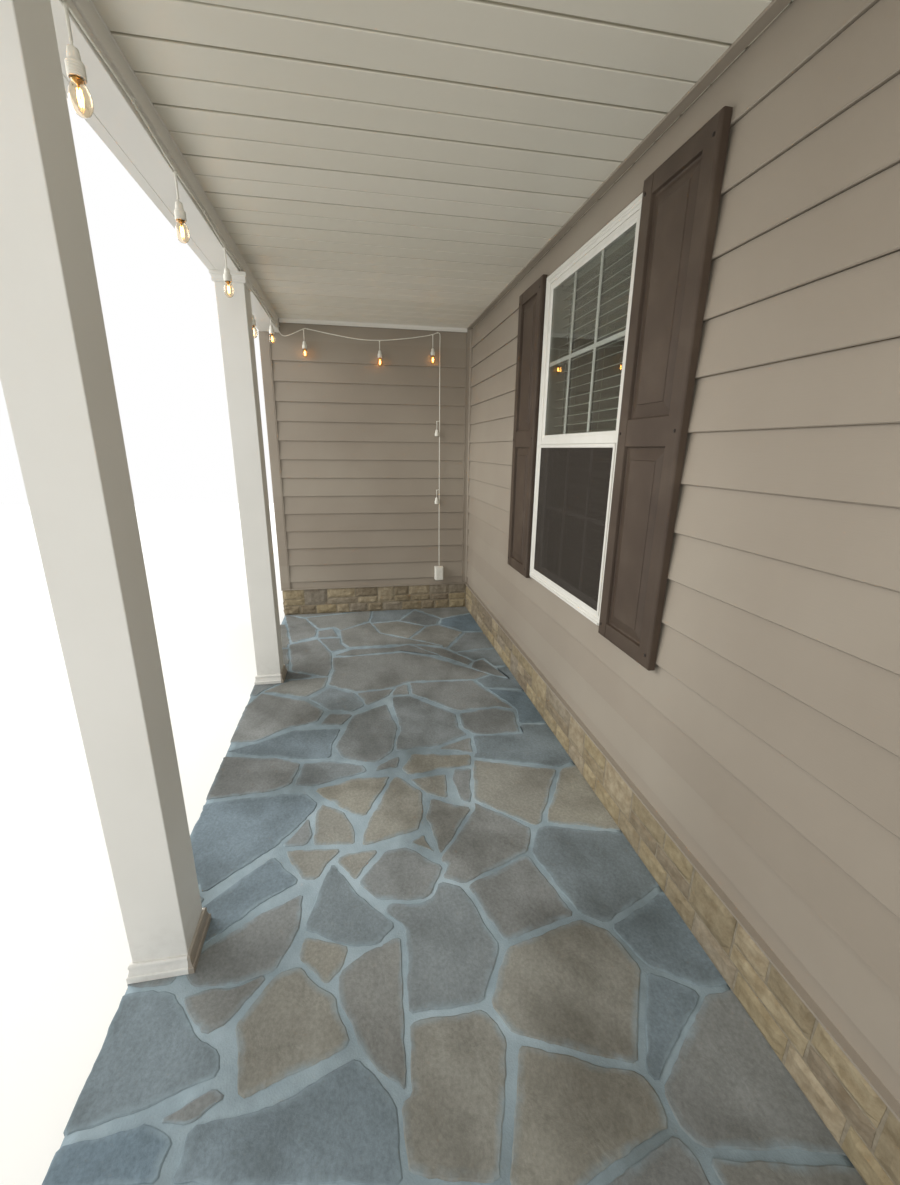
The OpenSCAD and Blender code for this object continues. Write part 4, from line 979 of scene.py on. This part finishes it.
# Beam trim: a white receiving channel along the beams' inner faces, where the ceiling panels end.
# Its rolled lower lip catches the light.
channel = [(0.0, 2.549), (0.006, 2.549), (0.008, 2.551), (0.008, 2.556), (0.0045, 2.560), (0.0045, 2.609),
           (0.008, 2.611), (0.008, ceiling), (0.0, ceiling)]
along_x([(beam_in + out, z) for out, z in channel], 0.0, post_near)
along_y([(post_near - out, z) for out, z in channel], -1.5537, 0.0)
lay("beam_channel", [coil], ["beam_trim"])

# Ceiling trims: a flat tan channel along the house wall and a white one along the top of the end wall.
# The white one has a groove along it where the two halves of the channel snap together.
along_x([(-0.034, ceiling), (-0.034, 2.607), (-0.033, 2.606), (0.0, 2.606), (0.0, ceiling)], 0.0, 5.025)
tan_faces = len(faces)
along_y([(0.0, 2.583), (0.006, 2.583), (0.008, 2.585), (0.008, 2.590), (0.005, 2.592), (0.005, 2.609),
         (0.008, 2.611), (0.008, ceiling), (0.0, ceiling)], -1.5537, -0.0343)
lay("ceiling_channels", [siding, coil], ["ceiling_trim"],
    which=[0] * tan_faces + [1] * (len(faces) - tan_faces))

# Ceiling: white moulded panels, each with a pressed groove down its middle and a deeper one where it locks
# to the next. They run from the beam to the house wall; each lies a little unevenly and has a soft gloss, and
# its grooves are painted darker inside as shade.
cream, tree, surface, where = patterned("moulded_ceiling_panel", Roughness=0.34, Specular_IOR_Level=0.5)
kind = add(tree, "ShaderNodeAttribute", attribute_name="kind")
tint = add(tree, "ShaderNodeValToRGB", {0: kind.outputs["Fac"]}, stops=[(0.0, "#E6E2D5"), (1.0, "#ECE8DC")])
height = add(tree, "ShaderNodeSeparateXYZ", {0: where})
# Painted shade: the inside of each groove is painted a darker tan than the panel face.
groove_painted_shade = add(tree, "ShaderNodeMapRange", {0: height.outputs[2], 1: 2.6150, 2: 2.6185, 3: 0.0, 4: 1.0})
add(tree, "ShaderNodeMix", {0: groove_painted_shade, 6: tint, 7: "#B4AE9D"}, data_type="RGBA",
    into=surface["Base Color"])
stretched = add(tree, "ShaderNodeMapping", {"Vector": where, "Scale": (14.0, 1.6, 1.0)})
sway = add(tree, "ShaderNodeTexNoise", {"Vector": stretched, "Scale": 1.0, "Detail": 2.0})
add(tree, "ShaderNodeBump", {"Strength": 0.4, "Distance": 0.004, "Height": sway}, into=surface["Normal"])
panel_wide, panel_thick, first_lock, full_panels = 0.2668, 0.010, 0.144, 18
groove = panel_wide / 2
lock = [(0.0, 0.006), (0.0045, 0.006), (0.0062, 0.0006), (0.0078, 0.0), (groove - 0.0060, 0.0),
        (groove - 0.0045, 0.0008), (groove - 0.0030, 0.0042), (groove + 0.0030, 0.0042),
        (groove + 0.0045, 0.0008), (groove + 0.0060, 0.0), (panel_wide - 0.0078, 0.0),
        (panel_wide - 0.0062, 0.0006), (panel_wide - 0.0045, 0.006), (panel_wide, 0.006)]
along_y(lock + [(panel_wide, panel_thick), (0.0, panel_thick)], beam_in, wall_back)
repeat("ceiling_panels", [(first_lock + panel_wide * k, 0.0, ceiling) for k in range(full_panels)], cream,
       ["porch_ceiling"], seed=9)
last_lock = first_lock + full_panels * panel_wide
for low, high, shift in ((panel_wide - 0.020 - first_lock, panel_wide, first_lock - panel_wide),
                         (0.0, post_near - last_lock, last_lock)):
    cut = [(low, 0.006 if low == 0.0 else 0.0)] + [(x, z) for x, z in lock if low < x < high]
    cut += [(high, 0.0 if high < panel_wide else 0.006), (high, panel_thick), (low, panel_thick)]
    along_y([(x + shift, ceiling + z) for x, z in cut], beam_in, wall_back)
lay("cut_ceiling_panels", [cream])

# Roof deck: plain sheathing boards over the rafters; only its lower and side edges can be seen.
deck_board, tree, surface, where = patterned("plain_roof_sheathing", Roughness=0.8)
chips = add(tree, "ShaderNodeTexVoronoi", {"Vector": where, "Scale": 60.0})
add(tree, "ShaderNodeValToRGB", {0: chips.outputs["Distance"]}, stops=[(0.1, "#8E6C42"), (0.7, "#B08A5A")],
    into=surface["Base Color"])
dress("roof_deck", deck_board)

# Shingles: asphalt tabs 29 cm wide with 15 cm to the weather, nailed in courses up the slope.
# Charcoal mineral granules, each tab a slightly different grey; a start sheet lies under them.
slope = math.radians(18.5)
eave_out, fascia_thick = 1.762, 0.020
eave_line, roof_left, roof_right = -eave_out - fascia_thick, -0.173, 5.323
rafter_tall, deck_thick, deck_edge = 0.140, 0.015, 0.0034
rafter_foot = beam_head - 0.030


def roof_level(y, tall):
    return rafter_foot + (y - beam_out) * math.tan(slope) + tall / math.cos(slope)


deck_at_eave = roof_level(eave_line, rafter_tall + deck_thick)


def on_roof(u, n):
    return (eave_line + deck_edge + u * math.cos(slope) - n * math.sin(slope),
            deck_at_eave + u * math.sin(slope) + n * math.cos(slope))


granules, tree, surface, where = patterned("asphalt_shingle_granules", Roughness=0.95)
kind = add(tree, "ShaderNodeAttribute", attribute_name="kind")
tint = add(tree, "ShaderNodeValToRGB", {0: kind.outputs["Fac"]}, stops=[
    (0.0, "#45433F"), (0.35, "#524F4B"), (0.7, "#5C5853"), (1.0, "#66615B")])
speck = add(tree, "ShaderNodeTexNoise", {"Vector": where, "Scale": 240.0, "Detail": 3.0})
salt = add(tree, "ShaderNodeValToRGB", {0: speck}, stops=[(0.35, "#9A9A9A"), (0.62, "#FFFFFF")])
add(tree, "ShaderNodeMix", {0: 0.8, 6: tint, 7: salt}, data_type="RGBA", blend_type="MULTIPLY",
    into=surface["Base Color"])
add(tree, "ShaderNodeBump", {"Strength": 0.7, "Distance": 0.0015, "Height": speck}, into=surface["Normal"])
slope_run = (wall_back - eave_line - deck_edge) / math.cos(slope)
courses, tabs_across, tab_gap, tab_lap, top_shift = 13, 19, 0.0015, 0.012, 0.0135
shown = slope_run / courses
tab = (roof_right - roof_left) / tabs_across
tabs, half_tabs = [], []
for row in range(courses):
    y, z = on_roof(row * shown - (top_shift if row == courses - 1 else 0.0), 0.0)
    tabs += [(roof_left + (k + row % 2 / 2) * tab, y, z) for k in range(tabs_across - row % 2)]
    half_tabs += [(x, y, z) for x in (roof_left, roof_right - tab / 2) if row % 2]
for name, spots, wide, seed in (("shingle_tabs", tabs, tab, 21),
                                ("shingle_half_tabs", half_tabs, tab / 2, 22)):
    outline = [on_roof(u, n) for u, n in (
        (0.0, 0.0045), (0.0, 0.0095), (0.002, 0.0105), (shown + tab_lap, 0.0065), (shown + tab_lap, 0.0035))]
    along_x([(y - on_roof(0, 0)[0], z - on_roof(0, 0)[1]) for y, z in outline], tab_gap, wide - tab_gap)
    repeat(name, spots, granules, ["roof_shingles"], seed=seed)
sheet_long, sheet_thick = slope_run - 0.003, 0.0045
along_x([on_roof(u, n) for u, n in (
    (0.0, 0.0), (0.0, sheet_thick), (sheet_long, sheet_thick), (sheet_long, 0.0))], roof_left, roof_right)
made = lay("shingle_start_sheet", [granules], ["roof_shingles"])
mark(made, "kind", "FACE", [0.2] * len(made.data.polygons))

# Soffit: white grooved panels closing the eave, and a plain bent sheet under the rake's overhang.
# Two pressed grooves down each panel, as on the ceiling.
deck_right, soffit_panels = 5.303, 18
soffit_wide = (deck_right - roof_left) / soffit_panels
ridges = [(0.0, 0.005), (0.002, 0.005), (0.004, 0.0)]
for at in (soffit_wide / 3, soffit_wide * 2 / 3):
    ridges += [(at - 0.004, 0.0), (at - 0.001, 0.003), (at + 0.001, 0.003), (at + 0.004, 0.0)]
ridges += [(soffit_wide - 0.004, 0.0), (soffit_wide - 0.002, 0.005), (soffit_wide, 0.005),
           (soffit_wide, panel_thick), (0.0, panel_thick)]
along_y(ridges, -eave_out, beam_out)
repeat("eave_panels", [(roof_left + soffit_wide * k, 0.0, ceiling) for k in range(soffit_panels)], cream,
       ["eave_soffit"], seed=3)
along_x([(y, roof_level(y, rafter_tall) + up) for y, up in (
    (floor_front, -0.010), (floor_front, 0.0), (wall_back, 0.0), (wall_back, -0.010))], open_end, deck_right)
made = lay("rake_soffit", [cream], ["eave_soffit"])
mark(made, "kind", "FACE", [0.5] * len(made.data.polygons))

# Fascia and rake board: timber boards capped with the same white coil stock, its lower edge bent under.
# A fine crease is pressed along each of them.
head = roof_level(-eave_out, rafter_tall + deck_thick) - fascia_thick * math.tan(slope)
tall = head - ceiling + 0.006
foot = head - tall
along_x([(-eave_out, foot), (eave_line + 0.002, foot), (eave_line, foot + 0.002), (eave_line, head - 0.060),
         (eave_line + 0.0015, head - 0.058), (eave_line, head - 0.056), (eave_line, head), (-eave_out, head)],
        roof_left, deck_right)
lay("fascia_wrap", [coil], ["fascia"])
eased = [(deck_right, 0.0), (roof_right - 0.002, 0.0), (roof_right, 0.002), (roof_right, 0.060),
         (roof_right - 0.0015, 0.062), (roof_right, 0.064), (roof_right, tall), (deck_right, tall)]
sweep(lambda y: [(x, y, roof_level(y, rafter_tall + deck_thick) - tall + up) for x, up in eased],
      eave_line, wall_back)
lay("rake_wrap", [coil], ["rake_board"])

# Flashing: painted sheet metal folded where the roof meets the house wall.
sheet_metal = mottled("painted_sheet_flashing", 8.0, 5.0, [(0.3, "#69645C"), (0.7, "#76716A")],
                      Roughness=0.45)
dress("wall_flashing", sheet_metal)

# Lamp cord: two cores in one white moulded jacket, hung from hooks along the beam and the end wall.
# It sags a little between them, goes over the last hook and runs down the wall to the outlet box.
lamp_row, lamp_level = beam_in + 0.006, beam_foot + 0.006
hook_level = lamp_level + 0.010
posts = list(post_places.values())
after_post, before_post = 0.407, 0.169
bay = (posts[1] - posts[0] - after_post - before_post) / 2
beam_lamps = [posts[0] - 0.890, posts[0] - 0.144]
beam_lamps += [x + after_post + k * bay for x in posts[:2] for k in range(3)]
beam_hooks = [beam_lamps[0] - 0.200] + [(a + b) / 2 for a, b in zip(beam_lamps, beam_lamps[1:])] + [5.013]
route = [(beam_hooks[-1], lamp_row, hook_level)]
for k in reversed(range(len(beam_lamps))):
    route += [(beam_lamps[k], lamp_row, lamp_level), (beam_hooks[k], lamp_row, hook_level)]
wall_lamps, wall_lowered = [(-1.369, 0.020), (-0.773, -0.035), (-0.332, 0.030)], [0.012, 0.0, 0.030]
wall_hooks = [(-1.335, 0.021), (-0.294, 0.044)]
off_wall, cord_down, last_run = 0.032, -0.270, 0.019
route += [(0.080, lamp_row + 0.006, lamp_level - 0.018), (0.045, lamp_row + 0.030, lamp_level - 0.038),
          (off_wall, lamp_row + 0.076, lamp_level - 0.028)]
route += [(off_wall, y, lamp_level + up) for y, up in (
    wall_lamps[0], wall_hooks[0], (-1.150, -0.008), (-0.950, -0.033), wall_lamps[1], (-0.560, -0.012),
    (-0.400, 0.014), wall_lamps[2], wall_hooks[1])]
route += [(0.029, -0.276, lamp_level + 0.040), (0.024, cord_down, lamp_level + 0.018),
          (last_run, cord_down, lamp_level - 0.060)]
route += [(last_run, cord_down, z) for z in (2.200, 1.874, 1.580, 1.286)]
route += [(0.020, cord_down, 0.900), (0.031, cord_down, 0.570)]


def smooth_route(stops, steps):
    path = []
    for i in range(len(stops) - 1):
        a, b, c, d = (Vector(stops[min(max(i + k, 0), len(stops) - 1)]) for k in (-1, 0, 1, 2))
        for k in range(steps):
            t = k / steps
            path.append((b * 2 + (c - a) * t + (a * 2 - b * 5 + c * 4 - d) * t * t
                         + (b * 3 - a - c * 3 + d) * t ** 3) / 2)
    return path + [Vector(stops[-1])]


def tube(path, radius, sides):
    start = (path[1] - path[0]).normalized()
    normal = Vector((0, 0, 1)) if abs(start.z) < 0.95 else Vector((1, 0, 0))
    first = len(points)
    for i, p in enumerate(path):
        way = (path[min(i + 1, len(path) - 1)] - path[max(i - 1, 0)]).normalized()
        normal = (normal - way * normal.dot(way)).normalized()
        cross = way.cross(normal)
        for k in range(sides):
            t = 2 * math.pi * k / sides
            points.append(p + (normal * math.cos(t) + cross * math.sin(t)) * radius)
    shell(first, sides, len(path))


white_pvc = mottled("white_moulded_cord", 25.0, 4.0, [(0.3, "#E4E1D6"), (0.7, "#EFEDE4")], Roughness=0.45)
tube(smooth_route(route, 6), 0.0035, 10)
lay("lamp_cord", [white_pvc], ["light_cord"], smooth=True)

# Sockets: ribbed white holders on short drops, each moulded to the cord with a small tee.
# Two on the run down the wall have no bulb in them.


def lathe(outline, sides, closed=False):
    rings = []
    for r, z in outline:
        count = sides if r > 0.0 else 1
        rings.append(range(len(points), len(points) + count))
        turns = [2 * math.pi * k / sides for k in range(count)]
        points.extend((r * math.cos(t), r * math.sin(t), z) for t in turns)
    for low, high in list(zip(rings, rings[1:])) + [(rings[-1], rings[0])] * closed:
        for k in range(sides):
            n = (k + 1) % sides
            quad = [low[k % len(low)], low[n % len(low)], high[n % len(high)], high[k % len(high)]]
            faces.append(tuple(dict.fromkeys(quad)))


drop, holder, bulb_long = 0.0785, 0.052, 0.067
top_of_bulb = -drop - holder
lowered = [-0.025, 0.080, 0.012, 0.014] + [0.0] * 4
lamps = [(x, lamp_row, lamp_level - low) for x, low in zip(beam_lamps, lowered)]
lamps += [(off_wall, y, lamp_level + up - low) for (y, up), low in zip(wall_lamps, wall_lowered)]
bare = [(last_run, -0.294, z) for z in (1.874, 1.286)]
outline = [(0.0, -drop + 0.012), (0.0025, -drop + 0.012), (0.0025, -drop + 0.006), (0.0060, -drop + 0.003),
           (0.0108, -drop), (0.0125, -drop - 0.010), (0.0130, -drop - holder * 0.38),
           (0.0165, -drop - holder * 0.46)]
for k in range(5):
    z = -drop - holder * (0.50 + 0.095 * k)
    outline += [(0.0180, z), (0.0180, z - 0.0028), (0.0168, z - 0.0036), (0.0168, z - 0.0044)]
outline += [(0.0178, top_of_bulb + 0.001), (0.0150, top_of_bulb), (0.0145, top_of_bulb + 0.004),
            (0.0, top_of_bulb + 0.004)]
lathe(outline, 20)
repeat("lamp_holders", lamps + bare, white_pvc, ["light_sockets"], seed=6, smooth=True)
for x, y, z in bare:
    tube([Vector((x, y - 0.002, z - 0.0066)), Vector((x, y + 0.010, z - 0.0062)),
          Vector((x, y + 0.0215, z - 0.004))], 0.0026, 10)
for (x, y, z), low in zip(lamps + bare, lowered + wall_lowered + [0.0] * len(bare)):
    for end, wide in ((0.0115 - drop, 0.0033), (low - 0.014, 0.0050)):
        tube([Vector((x, y, z + up)) for up in (end, low - 0.0090, low - 0.0041)], wide, 10)
lay("holder_wires", [white_pvc], smooth=True)

# Bulbs: clear blown glass over a glowing filament on a glass stem, with a brass cap in the holder.
# The glass is thin; the filament is drawn as four warm upright threads.
bulb_glass = material("clear_bulb_glass", Base_Color="#FFF6E6", Roughness=0.0, IOR=1.45,
                      Transmission_Weight=1.0)[0]
bell = [(0.0122, 0.0), (0.0128, 0.06), (0.0148, 0.14), (0.0188, 0.25), (0.0214, 0.37), (0.0228, 0.51),
        (0.0225, 0.64), (0.0198, 0.78), (0.0146, 0.90), (0.0080, 0.97), (0.0, 1.0)]
glass_thick = 0.0008
outer = [(r, top_of_bulb - t * bulb_long) for r, t in bell]
inner = [(r - glass_thick, z) if r else (r, z + glass_thick) for r, z in reversed(outer)]
lathe(outer + inner, 20, closed=True)
repeat("bulb_glasses", lamps, bulb_glass, ["light_bulbs"], seed=7, smooth=True)
filament = material("glowing_filament", Base_Color="#FFC878", Roughness=0.5, Emission_Color="#FFB45A",
                    Emission_Strength=26.0)[0]
for k in range(4):
    turn = math.pi / 4 + math.pi / 2 * k
    tube([Vector((r * math.cos(turn), r * math.sin(turn), top_of_bulb - deep))
          for r, deep in ((0.0035, 0.017), (0.0055, 0.032), (0.0035, 0.048))], 0.0013, 6)
repeat("bulb_filaments", lamps, filament, ["light_bulbs"], seed=8, smooth=True)
brass = material("brass_lamp_cap", Base_Color="#B08D4C", Roughness=0.3, Metallic=1.0)[0]
stem = [(0.0, 0.001), (0.0112, 0.001), (0.0108, 0.004), (0.005, 0.007), (0.0022, 0.010), (0.0018, 0.019),
        (0.0, 0.020)]
lathe([(r, top_of_bulb - deep) for r, deep in stem], 16)
repeat("bulb_caps_and_stems", lamps, brass, ["light_bulbs"], seed=10, smooth=True)

# Hooks: coated wire cup hooks screwed into the beam's face and the end wall.
coated_wire = mottled("white_coated_wire", 120.0, 3.0, [(0.3, "#D8D5CB"), (0.6, "#ECEAE2")], Roughness=0.35)


def hook(place, reach, turn):
    loop = [(-reach, 0.0058), (0.0020, 0.0058), (0.0046, 0.0048), (0.0058, 0.0022), (0.0058, -0.0022),
            (0.0046, -0.0048), (0.0020, -0.0058), (0.0, -0.0058)]
    tube([Vector(place) + Vector((u * math.cos(turn), u * math.sin(turn), v)) for u, v in loop], 0.0019, 8)


for x in beam_hooks:
    hook((x, lamp_row, hook_level), 0.006, math.pi / 2)
for y, up in wall_hooks:
    hook((off_wall, y, lamp_level + up), 0.0415, 0.0)
lay("cup_hooks", [coated_wire], ["cord_hooks"], smooth=True)

# Outlet box: a white weatherproof cover over the outlet that the cord ends in.
outlet = mottled("weatherproof_cover", 40.0, 4.0, [(0.3, "#DDDAD0"), (0.7, "#E8E6DD")], Roughness=0.4)


def cover(y0, y1, z0, z1, rings):
    first = len(points)
    for inset, x in rings:
        points.extend((x, y, z) for y, z in rounded(y0 + inset, y1 - inset, z0 + inset, z1 - inset, 0.006))
    shell(first, 16, len(rings))


cover(-0.310, -0.230, 0.440, 0.570, [(0.0, 0.0), (0.0, 0.018), (0.003, 0.020)])
cover(-0.308, -0.232, 0.442, 0.568, [(0.0, 0.0205), (0.0, 0.052), (0.003, 0.058), (0.008, 0.0615)])
lay("outlet_cover", [outlet], ["outlet_box"])
